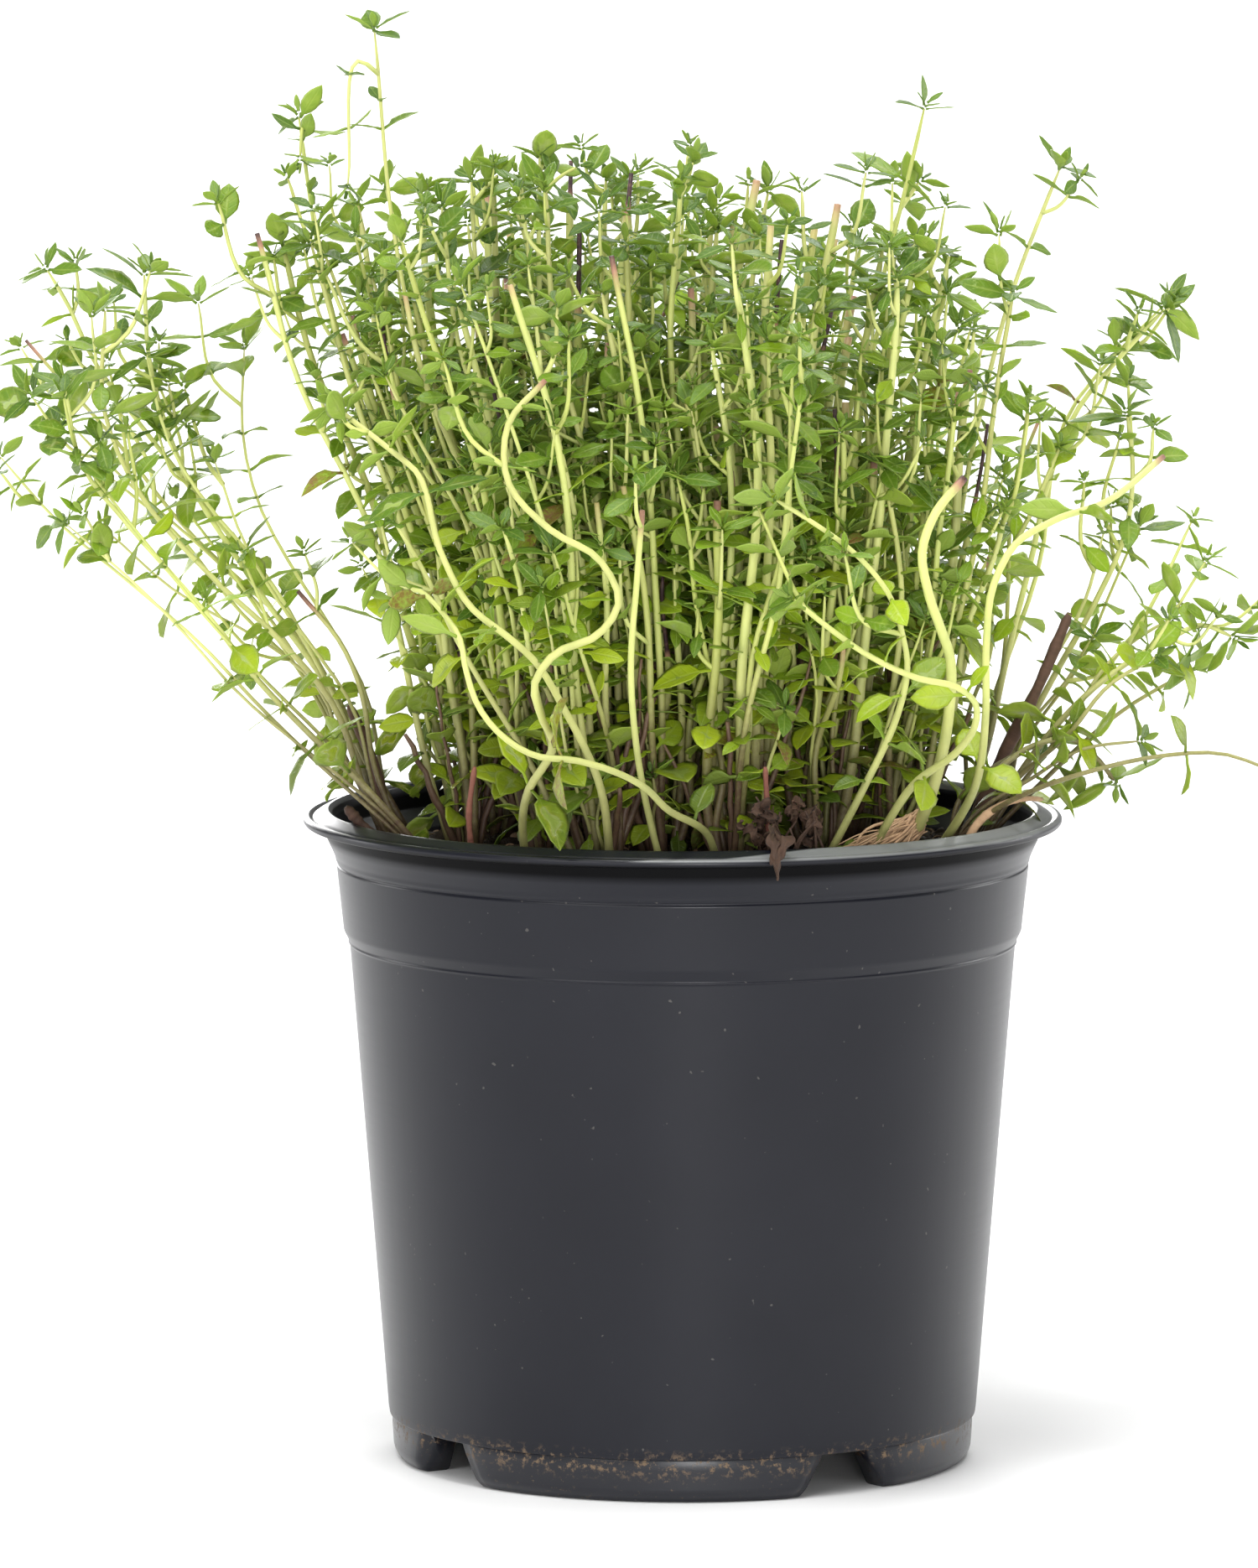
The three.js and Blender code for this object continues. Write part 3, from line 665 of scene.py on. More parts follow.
def stem_finish(colours):
    """Pale stem: yellow green, brown where it is woody, darkened near the soil by painted shade, and dark at
    a cut end.
    """
    stem = Finish("thyme_stem")
    stem.set("Subsurface Weight", 0.12)
    stem.set("Subsurface Radius", (1.2, 1.2, 0.5))
    stem.set("Subsurface Scale", 1.0 * MM)
    wood, chance, cut, purple = stem.tint()
    soft = stem.noise(5.0, 2.0)
    fine = stem.noise(0.8, 4.0, 0.65)
    tone = stem.mix((chance * 0.8 + 0.25).clamp(), colours.stem_green, colours.stem_pale)
    tone = stem.mix((soft - 0.45) * 0.9, tone, CLOUD_GREEN)
    tone = stem.mix((wood * (0.55 + fine * 0.9)).clamp(), tone, WOOD_BROWN)
    tone = stem.mix((purple * (0.2 + soft * 0.8)).clamp(), tone, BLUSH_PURPLE)
    edge = (cut * (0.7 + fine * 0.6)).clamp()
    tone = stem.mix((edge * 2).clamp(), tone, CUT_PINK)
    tone = stem.mix((edge * 2 - 1).clamp(), tone, CUT_BLACK)
    # Painted shade: stems darken towards the soil, where the bush's own shade falls.
    low = stem.height().ramp(POT_HEIGHT + 26, POT_HEIGHT - 2)
    tone = stem.mix(low * (0.4 + soft * 0.4), tone, PAINTED_SHADE_BROWN)
    stem.set("Base Color", tone)
    stem.set("Roughness", 0.42 + fine * 0.25)
    stem.bump(fine + soft * 0.5, 0.35, 0.12)
    return stem.material


def pot_finish(colours):
    """Injection-moulded plastic: satin with faint scuffs, a painted pale highlight line on the right half of
    the lip, painted shade that makes it dull and black under the lip, and dusty on the feet and the ledge
    over them."""
    pot = Finish("satin_plastic")
    pot.set("Specular IOR Level", 0.06)
    pot.set("Coat Roughness", 0.3)
    where = pot.place()
    x, y, z = pot.add("ShaderNodeSeparateXYZ", None, {0: where})
    grain = pot.noise(0.45, 2.0)
    cloud = pot.noise(22.0, 3.0)
    stretched = pot.add("ShaderNodeMapping", None, {"Vector": where, "Scale": (0.05, 0.05, 0.9)})[0]
    scuff = pot.noise(1.0, 5.0, 0.7, where=stretched)
    speck = pot.noise(1.1, 1.0).ramp(0.77, 0.8)
    ledge = 1 - (z - FOOT_HEIGHT + 1.0).absolute().ramp(0.6, 3.0)
    foot = z.ramp(FOOT_HEIGHT + 0.5, FOOT_HEIGHT - 1.5)
    grit = pot.noise(1.0, 3.0, 0.7).ramp(0.62, 0.72)
    dust = pot.noise(1.3, 4.0, 0.7).ramp(0.53, 0.64) * ledge + grit * foot * 0.5
    tone = pot.mix(cloud, colours.plastic, tuple(min(1.0, c * 1.35) for c in colours.plastic))
    tone = pot.mix(speck * 0.2, tone, SPECK_GREY)
    tone = pot.mix((dust * 0.7).clamp(), tone, DUST_BROWN)
    # Painted shade: a near-black band under the lip, where the lip's shadow falls.
    shade = z.ramp(LIP_BASE - 3.4, LIP_BASE - 1.8) * z.ramp(LIP_BASE + 0.7, LIP_BASE + 0.25)
    tone = pot.mix(shade, tone, UNDER_LIP_PAINTED_SHADE)
    # Painted highlight: a pale grey line along the lip's bead that stands in for the light it catches.
    # Measured from the frame's origin, which lies left of the pot's axis: no painted highlight line on the
    # left half.
    outer = (x * x + y * y).ramp((RIM_RADIUS - 1.2) ** 2, (RIM_RADIUS - 0.85) ** 2)
    edge = outer * z.ramp(LIP_BASE + 1.0, LIP_BASE + 1.3)
    tone = pot.mix(edge * (0.8 + scuff * 0.4), tone, PAINTED_HIGHLIGHT_GREY)
    pot.set("Base Color", tone)
    # The painted-shade mask also takes the coat's reflection away under the lip.
    pot.set("Coat Weight", (0.46 - shade * 0.46 + cloud * 0.08 + foot * 0.35) * (1 - dust.clamp()))
    pot.set("Roughness", 0.3 + cloud * 0.08 + scuff * 0.08 + dust * 0.4 + speck * 0.3)
    pot.bump(grain * 0.6 + scuff * 0.5 + dust * 1.5, 0.12, 0.1)
    return pot.material


def soil_finish():
    """Damp compost: near black with brown fibres and paler crumbs."""
    soil = Finish("damp_compost")
    pale = soil.tint()[2]
    fine = soil.noise(0.9, 5.0, 0.7)
    soft = soil.noise(6.0, 3.0)
    tone = soil.mix(fine, PEAT_BLACK, PEAT_BROWN)
    tone = soil.mix(soft.ramp(0.5, 0.75) * 0.6, tone, DRY_PEAT)
    tone = soil.mix(pale, tone, PALE_CRUMB)
    soil.set("Base Color", tone)
    soil.set("Roughness", 0.8 + fine * 0.2)
    soil.bump(fine + soft * 0.5, 0.9, 0.6)
    return soil.material


def dry_finish(name, dark, light, streak=0.35):
    """Dead plant matter: streaked along its length between a dark and a light tone."""
    dry = Finish(name)
    chance = dry.tint()[1]
    along, across = dry.surface()
    grain = dry.noise(1.0, 4.0, 0.65)
    ribbed = dry.add("ShaderNodeCombineXYZ", None, {0: across * 9, 1: along * streak})[0]
    line = dry.noise(1.0, 3.0, where=ribbed)
    tone = dry.mix((grain * 0.5 + line * 0.6 + chance * 0.3 - 0.15).clamp(), dark, light)
    dry.set("Base Color", tone)
    dry.set("Roughness", 0.7 + grain * 0.25)
    dry.bump(grain + line, 0.6, 0.25)
    return dry.material


def stone_finish():
    """Dull tan pebble with darker freckles."""
    stone = Finish("freckled_pebble", 0.75)
    fine = stone.noise(0.6, 4.0, 0.6)
    soft = stone.noise(3.0, 2.0)
    tone = stone.mix(soft, STONE_BROWN, STONE_TAN)
    tone = stone.mix(fine.ramp(0.6, 0.68) * 0.6, tone, STONE_FRECKLE)
    stone.set("Base Color", tone)
    stone.bump(fine, 0.5, 0.2)
    return stone.material


def paper_finish(name, colour, roughness):
    """Plain matt studio surface with a trace of cloudiness."""
    paper = Finish(name, roughness)
    greyer = tuple(c * 0.97 for c in colour)
    paper.set("Base Color", paper.mix(paper.noise(60.0) * 0.15, colour, greyer))
    return paper.material


# ---- Growing a plant ----

LIP_CLEARANCE = 1.5
WALL_CLEARANCE = 2.5
TWIG_MARGIN = 3.0
TIP_ZONE = 26
# Shares of the canopy's height: leaves are sparse below the first, side shoots start above the second.
BARE_FOOT = 0.16
SHOOTS_FROM = 0.25


def keep_inside(route):
    """The route with every point below the lip's top drawn in to clear the pot's wall."""
    route = np.array(route, float)
    reach = np.maximum(np.hypot(route[:, 0], route[:, 1]), 1e-6)
    below = route[:, 2] < POT_HEIGHT + LIP_CLEARANCE
    route[:, :2] *= np.where(below, np.minimum(1, (WALL_INNER - WALL_CLEARANCE) / reach), 1)[:, None]
    return route


def across_stem(tangent, turn):
    """A direction square to the stem at an angle round it."""
    first = unit(np.cross(tangent, (0.31, 0.9, 0.3)))
    return first * math.cos(turn) + np.cross(tangent, first) * math.sin(turn)


class Growth:
    """Stems and leaves of one plant, gathered before they are meshed."""

    def __init__(self, seed):
        self.rng = np.random.default_rng(seed)
        self.mains, self.twigs, self.leaves = [], [], []

    def leaf(self, base, direction, up, length, ratio, age, dead=0.0, petiole=0.16, bow=(-0.08, 0.2)):
        """One leaf, left out where it would grow through the pot's wall or lip or out of reach."""
        rng = self.rng
        tip = base + direction * length
        near, far = np.hypot(*base[:2]), np.hypot(*tip[:2])
        if tip[2] < POT_HEIGHT + 2 and near < RIM_RADIUS + 1 and far > WALL_INNER - 2:
            return
        if np.any(tip < REACH[0]) or np.any(tip > REACH[1]):
            return
        self.leaves.append({
            "base": base,
            "dir": direction,
            "up": up,
            "length": length,
            "width": length * ratio,
            "petiole": petiole,
            "fold": rng.uniform(-0.05, 0.32),
            "bow": rng.uniform(*bow) + 0.3 * dead,
            "curl": rng.uniform(0.0, 0.16),
            "shape": rng.uniform(0.72, 0.92),
            "blunt": np.clip(1.25 - ratio, 0.5, 0.85),
            "tint": (age, rng.random(), dead, 0),
        })

    def pair(self, point, tangent, turn, length, ratio, age, lift, dead=0.0, petiole=0.16, bow=(-0.08, 0.2)):
        """Two opposite leaves at a node, lifted by an angle from square to the stem."""
        rng = self.rng
        for side in (0, math.pi):
            out = across_stem(tangent, turn + side + rng.normal(0, 0.18))
            tip = lift + rng.normal(0, 0.34)
            direction = out * math.cos(tip) + tangent * math.sin(tip)
            up = tangent * math.cos(tip) - out * math.sin(tip) + rng.normal(0, 0.34, 3)
            size = length * rng.uniform(0.72, 1.18)
            self.leaf(point + out * 0.35, direction, up, size, ratio * rng.uniform(0.88, 1.12), age, dead,
                      petiole, bow)

    def rosette(self, point, tangent, length, age, ratio=0.44):
        """Crossed pairs that close a growing tip, each smaller and steeper."""
        tangent = unit(tangent)
        turn = self.rng.uniform(0, math.pi)
        for step, (size, lift) in enumerate(((1.0, 0.08), (0.78, 0.4), (0.42, 1.0))):
            self.pair(point + tangent * 0.55 * step, tangent, turn + step * math.pi / 2, length * size, ratio,
                      age, lift, petiole=0.1, bow=(-0.12, 0.1))

    def twig(self, route, radius, size, age, leafy_from=0.3, step=(5.5, 9.0), ratio=(0.44, 0.66), count=10):
        """A side shoot with leaf pairs that shrink towards its tip."""
        rng = self.rng
        path = smooth_path(route, count)
        length = np.linalg.norm(np.diff(path, axis=0), axis=1).sum()
        shade = np.zeros((count, 4))
        shade[:, 1] = rng.random()
        shade[:, 3] = np.linspace(0.0, rng.uniform(0, 0.35), count)
        taper = np.linspace(radius, radius * 0.6, count)
        taper[-1] *= 0.6
        self.twigs.append((path, taper, shade))
        turn = rng.uniform(0, math.pi)
        for spot in np.arange(leafy_from * length, length - 1.5, rng.uniform(*step)):
            share = spot / length
            at = share * (count - 1)
            k = min(int(at), count - 2)
            point = path[k] + (path[k + 1] - path[k]) * (at - k)
            turn += math.pi / 2 + rng.normal(0, 0.15)
            self.pair(point, unit(path[k + 1] - path[k]), turn, size * (1.1 - 0.3 * share),
                      rng.uniform(*ratio), age, 0.05 + 0.25 * share)
        self.rosette(path[-1], path[-1] - path[-2], size * rng.uniform(0.6, 0.85), age * 0.8)

    def stem(self, route, radius, top="leafy", bare=0.0, woody=0.3, size=8.0, twigs=2, leafiness=0.7,
             wobble=0.6, pale=None, count=26):
        """A main stem that ends in a growing tip, a clean cut or a thin dead stub."""
        rng = self.rng
        path = smooth_path(route, count)
        share = np.linspace(0, 1, count)
        length = np.linalg.norm(np.diff(path, axis=0), axis=1).sum()
        for axis in (0, 1):
            wave = np.sin(share * rng.uniform(4, 11) + rng.uniform(0, 6)) * rng.uniform(0.4, 1.0)
            path[:, axis] += wobble * wave * np.sin(share * math.pi)
        taper = radius * (1 - 0.4 * share)
        taper[0] *= 1.25
        shade = np.zeros((count, 4))
        height = (path[:, 2] - SOIL_EDGE) / CANOPY
        shade[:, 0] = np.clip(woody * (1.25 - height * 3.4), 0, 1)
        shade[:, 1] = rng.random() if pale is None else pale
        shade[:, 3] = np.clip(rng.uniform(-0.4, 0.3) + 0.2 * share, 0, 1)
        left_mm = (1 - share) * length
        if top == "leafy":
            taper[-1] *= 0.5
        else:
            taper = radius * (1 - 0.22 * share)
            taper[-1] *= 0.9
            shade[:, 2] = np.clip(1.3 - left_mm / rng.uniform(1.5, 4.5), 0, 1) * rng.uniform(0.25, 1.0)
        if top == "dead":
            stub = left_mm < rng.uniform(7, 16)
            taper = np.where(stub, taper * 0.62, taper)
            shade[:, 2] = np.where(stub, 1.0, 0.0)
            bare = 1.1 * 12 / length
        self.mains.append((path, taper, shade))
        turn, spot = rng.uniform(0, math.pi), rng.uniform(4, 12)
        places = []
        while spot < length * (1 - bare) - 2:
            at = spot / length * (count - 1)
            k = min(int(at), count - 2)
            point = path[k] + (path[k + 1] - path[k]) * (at - k)
            tangent = unit(path[k + 1] - path[k])
            high = (point[2] - SOIL_EDGE) / CANOPY
            low = np.clip(1 - high * 1.35, 0, 1)
            turn += math.pi / 2 + rng.normal(0, 0.12)
            sparse = 0.3 if high < BARE_FOOT else 0.0
            near_tip = top == "leafy" and length - spot < TIP_ZONE
            if rng.random() < leafiness - sparse + (0.25 if near_tip else 0):
                long = size * (0.86 + 0.1 * low) * rng.uniform(0.62, 1.24)
                age = np.clip(0.12 + 0.95 * (1 - high) + rng.normal(0, 0.2), 0, 1)
                dead = 1.0 if rng.random() < 0.07 * low else 0.0
                self.pair(point, tangent, turn, long, rng.uniform(0.36, 0.5) + 0.22 * low, age,
                          rng.uniform(-0.1, 0.4) + 0.25 * low, dead, petiole=0.14 + 0.12 * low,
                          bow=(-0.05 + 0.2 * low, 0.2 + 0.3 * low))
            places.append((point, tangent, turn, high))
            spot += rng.uniform(4.2, 6.5) if near_tip else rng.uniform(6.0, 11.0)
        if top == "leafy":
            self.rosette(path[-1], path[-1] - path[-2], size * rng.uniform(0.62, 0.98), 0.1)
        chosen = [place for place in places if place[3] > SHOOTS_FROM]
        chosen.sort(key=lambda place: place[3] + rng.uniform(0, 0.6), reverse=True)
        for point, tangent, turn, high in chosen[:twigs]:
            self.side_shoot(point, tangent, turn, high, size)

    def side_shoot(self, point, tangent, turn, high, size):
        """A shoot from a leaf axil that leaves at a slant and turns up."""
        rng = self.rng
        out = across_stem(tangent, turn)
        reach = rng.uniform(8, 26) * (1.15 - 0.4 * min(high, 1.0))
        top = point + out * reach * rng.uniform(0.25, 0.5) + (tangent + UP * 0.4) * reach * 0.6
        top[2] = min(top[2], SOIL_EDGE + CANOPY - rng.uniform(0, 8))
        top = np.clip(top, REACH[0] + TWIG_MARGIN, REACH[1] - TWIG_MARGIN)
        bend = point + out * reach * 0.22 + tangent * reach * 0.2
        age = float(np.clip(0.5 - 0.5 * high + rng.normal(0, 0.1), 0.0, 1))
        self.twig([point, bend, top], rng.uniform(0.32, 0.48), size * rng.uniform(0.68, 0.92), age,
                  leafy_from=rng.uniform(0.35, 0.7))

    def basal_shoots(self, x, y, size, count):
        """Short leafy shoots that lean out round a crown."""
        rng = self.rng
        outward = math.atan2(y, x)
        for _ in range(count):
            turn = outward + rng.normal(0, 1.1)
            tall, lean = rng.uniform(12, 52), rng.uniform(0.1, 0.6)
            base = np.array([x, y, float(soil_top(x, y))])
            out = np.array([math.cos(turn), math.sin(turn), 0.0])
            route = [
                base,
                base + out * (2 + tall * lean * 0.5) + UP * tall * 0.4,
                base + out * (2.5 + tall * lean * 0.8) + UP * tall * 0.75,
                base + out * (3 + tall * lean) + UP * tall,
            ]
            self.stem(keep_inside(route), rng.uniform(0.34, 0.5), woody=0.3, size=size, twigs=0,
                      leafiness=0.95, wobble=1.0, count=12)

    def old_wood(self, x, y, count=7):
        """Short dead woody stems that lean out of a crown."""
        rng = self.rng
        bends, rings = 12, 10
        for _ in range(count):
            turn, long, lean = rng.uniform(0, 2 * math.pi), rng.uniform(9, 38), rng.uniform(0.1, 0.55)
            base = np.array([x, y, soil_top(x, y)])
            out = np.array([math.cos(turn), math.sin(turn), 0.0])
            side = np.array([-out[1], out[0], 0.0]) * rng.uniform(-0.2, 0.2)
            share = np.linspace(0, 1, bends)[:, None]
            path = base + out * (2 + long * lean * share) + side * long * share**2 + UP * long * share
            path[:, :2] += rng.normal(0, 0.22, (bends, 2))
            path = keep_inside(path)
            taper = rng.uniform(0.4, 0.85) * (1 - 0.5 * share[:, 0]) * rng.uniform(0.85, 1.2, bends)
            shade = np.tile((1.0, rng.random(), 0.0, rng.uniform(0.3, 1.0)), (rings, 1))
            self.twigs.append((smooth_path(path, rings),
                               np.interp(np.linspace(0, 1, rings), share[:, 0], taper), shade))

    def crown(self, x, y, radius):
        """The short woody root crown: a dome from under the soil to just over it."""
        top = float(soil_top(x, y))
        share = np.linspace(0, 1, 6)
        path = np.stack([np.full(6, x), np.full(6, y), top - 2.5 + share * 4.2], 1)
        shade = np.tile((1.0, 0.2, 0.0, 0.5), (6, 1))
        return path[None], (radius * np.array([0.9, 1, 0.95, 0.8, 0.55, 0.15]))[None], shade[None]

    def piece(self, name, stem, leaf, crown):
        """Everything grown, as one object with its stems and leaves."""
        batch = Batch()
        path, radii, shade = self.crown(*crown)
        add_tubes(batch, path, radii, sides=9, tint=shade, squareness=0.12)
        for group, sides in ((self.mains, 8), (self.twigs, 6)):
            for rings in sorted({len(g[0]) for g in group}):
                same = [g for g in group if len(g[0]) == rings]
                add_tubes(batch, [g[0] for g in same], [g[1] for g in same], sides, [g[2] for g in same])
        if self.leaves:
            add_leaves(batch, self.leaves)
        thyme = batch.build(name, [stem, leaf])
        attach(thyme, "root")
        return thyme


def swerved(route, rng, start, drift, share_of_height):
    """A route's neighbour: shifted at its foot, drifting away with the height, and cut short."""
    points = 9
    path = smooth_path(route, points)
    share = np.linspace(0, 1, points)[:, None]
    shift = np.append(rng.normal(0, start, 2), 0)
    away = np.append(rng.normal(0, drift, 2), 0)
    path = path + shift * np.minimum(1, 0.3 + share) + away * share**1.3
    keep = max(4, int(round(points * share_of_height)))
    return keep_inside(path[:keep])


def grow_sprig(index, sizes, stem, leaf):
    """One rooted plant of the bush, for the frame's node of the same number."""
    node = f"sprig_{index + 1:02d}"
    (x, y), routes = sprig_routes(index)
    growth = Growth(500 + index)
    rng = growth.rng
    size = sizes.leaf_length
    for i, route in enumerate(routes):
        leader = i == 0 and index in LEADERS
        top = "leafy" if leader else rng.choice(["leafy", "cut", "dead"], p=[0.5, 0.42, 0.08])
        growth.stem(route, rng.uniform(0.48, 0.58) if leader else rng.uniform(0.6, 0.96), top,
                    bare=rng.uniform(0.03, 0.22) if top == "cut" else 0.0, woody=rng.uniform(0.5, 1.3),
                    size=size * rng.uniform(0.82, 1.05), twigs=1 if leader else 3,
                    leafiness=0.3 if leader else 0.6, wobble=1.2)
    for _ in range(sizes.thin_stems):
        route = swerved(routes[rng.integers(STEMS_PER_SPRIG)], rng, 2.2, 10.5, rng.uniform(0.5, 1.02))
        top = rng.choice(["leafy", "cut", "dead"], p=[0.76, 0.16, 0.08])
        growth.stem(route, rng.uniform(0.44, 0.72), top, woody=rng.uniform(0.5, 1.3),
                    size=size * rng.uniform(0.78, 1.0), twigs=1, leafiness=0.68, wobble=1.6, count=20)
    growth.basal_shoots(x, y, size * 0.85, 2)
    growth.old_wood(x, y)
    thyme = growth.piece(f"thyme_{node}", stem, leaf, (x, y, 2.6))
    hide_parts(node)
    return thyme


# Single stems in front of the bush: what differs from a leafy shoot.
SHOOT_HABITS = {
    "winding_stem": {"radius": 0.7, "top": "cut", "twigs": 1, "leafiness": 0.2},
    "slanting_stem": {"radius": 0.75, "twigs": 1, "leafiness": 0.35},
    "looping_stem": {"radius": 0.7, "twigs": 1, "leafiness": 0.35},
    "straight_stem": {"radius": 0.6, "top": "cut", "twigs": 1, "leafiness": 0.35},
    "sagging_stem": {"radius": 0.72, "twigs": 1, "leafiness": 0.5},
    "hooked_stem": {"radius": 0.72, "top": "cut", "twigs": 0, "leafiness": 0.2},
    "stout_cut_stem": {"radius": 1.0, "top": "cut", "twigs": 0, "leafiness": 0.1},
    "leaning_stem": {"radius": 0.65, "twigs": 1, "leafiness": 0.5},
}


def grow_shoot(name, sizes, stem, leaf):
    """One single shoot outside the bush, for the frame's node of that name."""
    growth = Growth(900 + list(SHOOTS).index(name))
    rng = growth.rng
    route = shoot_route(name)
    size = sizes.leaf_length
    if name in SHOOT_HABITS:
        growth.stem(route, woody=0.25, size=size, wobble=0.25, pale=0.6, count=48, **SHOOT_HABITS[name])
    else:
        growth.stem(route, 0.62, woody=0.9, size=size * 1.08, twigs=3, leafiness=0.6, pale=0.75, count=32)
        for _ in range(sizes.thin_stems // 2):
            growth.stem(swerved(route, rng, 2.0, 13.0, rng.uniform(0.5, 1.0)), rng.uniform(0.34, 0.5),
                        rng.choice(["leafy", "cut"], p=[0.75, 0.25]), woody=0.9,
                        size=size * rng.uniform(0.8, 1.05), twigs=1, leafiness=0.42, wobble=2.2, count=20)
    thyme = growth.piece(f"thyme_{name}", stem, leaf, (*route[0, :2], 1.7))
    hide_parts(name)
    return thyme


# ---- Pot ----

POT_SIDES = 192


def fillet(points, radius, steps=4):
    """Rounds each inner corner of a profile with a quadratic curve that starts a radius away from it, with a
    guard point just beyond each end that keeps the flats' shading flat."""
    points = np.asarray(points, float)
    out = [points[0]]
    for before, corner, after in zip(points, points[1:], points[2:]):
        back, ahead = before - corner, after - corner
        reach = min(radius, np.linalg.norm(back) * 0.45, np.linalg.norm(ahead) * 0.45)
        start, end = corner + unit(back) * reach, corner + unit(ahead) * reach
        t = np.linspace(0, 1, steps + 1)[:, None]
        out.append(corner + unit(back) * reach * 1.1)
        out.extend((1 - t) ** 2 * start + 2 * t * (1 - t) * corner + t**2 * end)
        out.append(corner + unit(ahead) * reach * 1.1)
    out.append(points[-1])
    return np.array(out)


def turned(profile, sides=POT_SIDES):
    """A closed (radius, height) profile carried round the axis, as points ring by ring."""
    angle = np.arange(sides) * 2 * math.pi / sides
    radius, height = profile[:, 0], profile[:, 1]
    return np.stack(
        [
            radius[:, None] * np.cos(angle),
            radius[:, None] * np.sin(angle),
            np.broadcast_to(height[:, None], (len(profile), sides)),
        ],
        -1,
    ).reshape(-1, 3)


def foot_solid(batch, start, end):
    """One foot: the ring's section carried between two angles that open out with height, ends closed."""
    outer = WALL_FOOT_RADIUS - FOOT_INSET
    section = fillet(
        [
            (outer - FOOT_WIDTH * 0.5, FOOT_HEIGHT + 0.4),
            (outer - FOOT_WIDTH, FOOT_HEIGHT + 0.4),
            (outer - FOOT_WIDTH, 0.0),
            (outer - 1.4, 0.0),
            (outer - 0.3, 1.6),
            (outer, FOOT_HEIGHT - 1.2),
            (outer - 0.2, FOOT_HEIGHT + 0.4),
            (outer - FOOT_WIDTH * 0.5, FOOT_HEIGHT + 0.4),
        ],
        0.7,
    )[:-1]
    steps = 26
    share = np.linspace(0, 1, steps)
    slope = (FOOT_GAP_GROUND - FOOT_GAP_TOP) / 2 / FOOT_HEIGHT
    open_mm = slope * (FOOT_HEIGHT - section[:, 1])
    inset = open_mm / section[:, 0]
    angle = (start + inset)[None] + (end - start - 2 * inset)[None] * share[:, None]
    draw = 1 - 0.012 * (np.exp(-share * 40) + np.exp(-(1 - share) * 40))[:, None]
    radius = section[None, :, 0] * draw
    height = np.broadcast_to(section[:, 1], radius.shape)
    points = np.stack([radius * np.cos(angle), radius * np.sin(angle), height], -1)
    batch.add(points.reshape(-1, 3), grid_faces(steps, len(section)))


def pot_profile():
    """Closed outline of the pot without its feet, from the floor's underside up the outside and back down."""
    neck_z = LIP_BASE - NECK_HEIGHT * 0.4
    outer = np.array([
        (0.02, FOOT_HEIGHT),
        (WALL_FOOT_RADIUS - 6.5, FOOT_HEIGHT),
        (WALL_FOOT_RADIUS - 0.1, FOOT_HEIGHT - 0.1),
        (WALL_FOOT_RADIUS + 0.1, FOOT_HEIGHT + 1.2),
        (WALL_TOP_RADIUS - 0.05, WALL_TOP - 0.3),
        (WALL_TOP_RADIUS + 0.28, WALL_TOP),
        (WALL_TOP_RADIUS + 0.12, WALL_TOP + 0.35),
        (BAND_FOOT_RADIUS, BAND_BASE),
        (SHOULDER_RADIUS - 0.1, SHOULDER_Z - 1.6),
        (SHOULDER_RADIUS - 0.35, SHOULDER_Z - 1.2),
        (SHOULDER_RADIUS + 0.05, SHOULDER_Z - 0.7),
        (SHOULDER_RADIUS + 0.15, SHOULDER_Z),
        (SHOULDER_RADIUS + 0.75, SHOULDER_Z + 1.4),
        (NECK_RADIUS, neck_z),
        (NECK_RADIUS + 0.45, LIP_BASE + 0.3),
        (RIM_RADIUS - 1.7, LIP_BASE + 0.3),
        *((RIM_RADIUS - BEAD + BEAD * math.cos(turn), LIP_BASE + BEAD + BEAD * math.sin(turn))
          for turn in np.radians(np.linspace(-125, 125, 11))),
        (RIM_RADIUS - 1.75, LIP_BASE + 1.15),
        (RIM_RADIUS - 2.2, LIP_BASE + 1.6),
        (LIP_INNER + 1.2, POT_HEIGHT - 0.1),
        (LIP_INNER + 0.7, POT_HEIGHT),
        (LIP_INNER, POT_HEIGHT - 0.5),
        (LIP_INNER - 0.1, POT_HEIGHT - 1.6),
        (NECK_RADIUS - WALL, neck_z),
        (WALL_INNER, SHOULDER_Z),
        (BAND_FOOT_RADIUS - WALL, BAND_BASE),
        (WALL_TOP_RADIUS - WALL, WALL_TOP),
        (WALL_FOOT_RADIUS - WALL, FLOOR_TOP),
        (0.02, FLOOR_TOP),
    ])
    return fillet(outer, 0.3, 4)


def make_pot(material):
    """The pot: a turned shell with a closed floor, and its feet, as one piece."""
    batch = Batch()
    profile = pot_profile()
    batch.add(turned(profile), grid_faces(len(profile), POT_SIDES))
    gap = math.radians(FOOT_GAP_TURN) - math.pi / 2
    half = FOOT_GAP_TOP / 2 / (WALL_FOOT_RADIUS - FOOT_INSET)
    for i in range(FOOT_COUNT):
        start = gap + i * 2 * math.pi / FOOT_COUNT + half
        foot_solid(batch, start, start + 2 * math.pi / FOOT_COUNT - 2 * half)
    pot = batch.build("pot_shell", [material])
    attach(pot, "root")
    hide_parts("nursery_pot")
    return pot


# ---- Soil and dead bits ----


def lumps(x, y, rng, waves=26, longest=14.0, shortest=2.2):
    """Height of a rough surface: a sum of plane waves, each as high as a share of its own length."""
    total = np.zeros_like(x)
    for _ in range(waves):
        length = shortest * (longest / shortest) ** rng.random()
        turn, phase = rng.uniform(0, 2 * math.pi, 2)
        across = x * math.cos(turn) + y * math.sin(turn)
        total += length * 0.028 * np.sin(across * 2 * math.pi / length + phase)
    return total


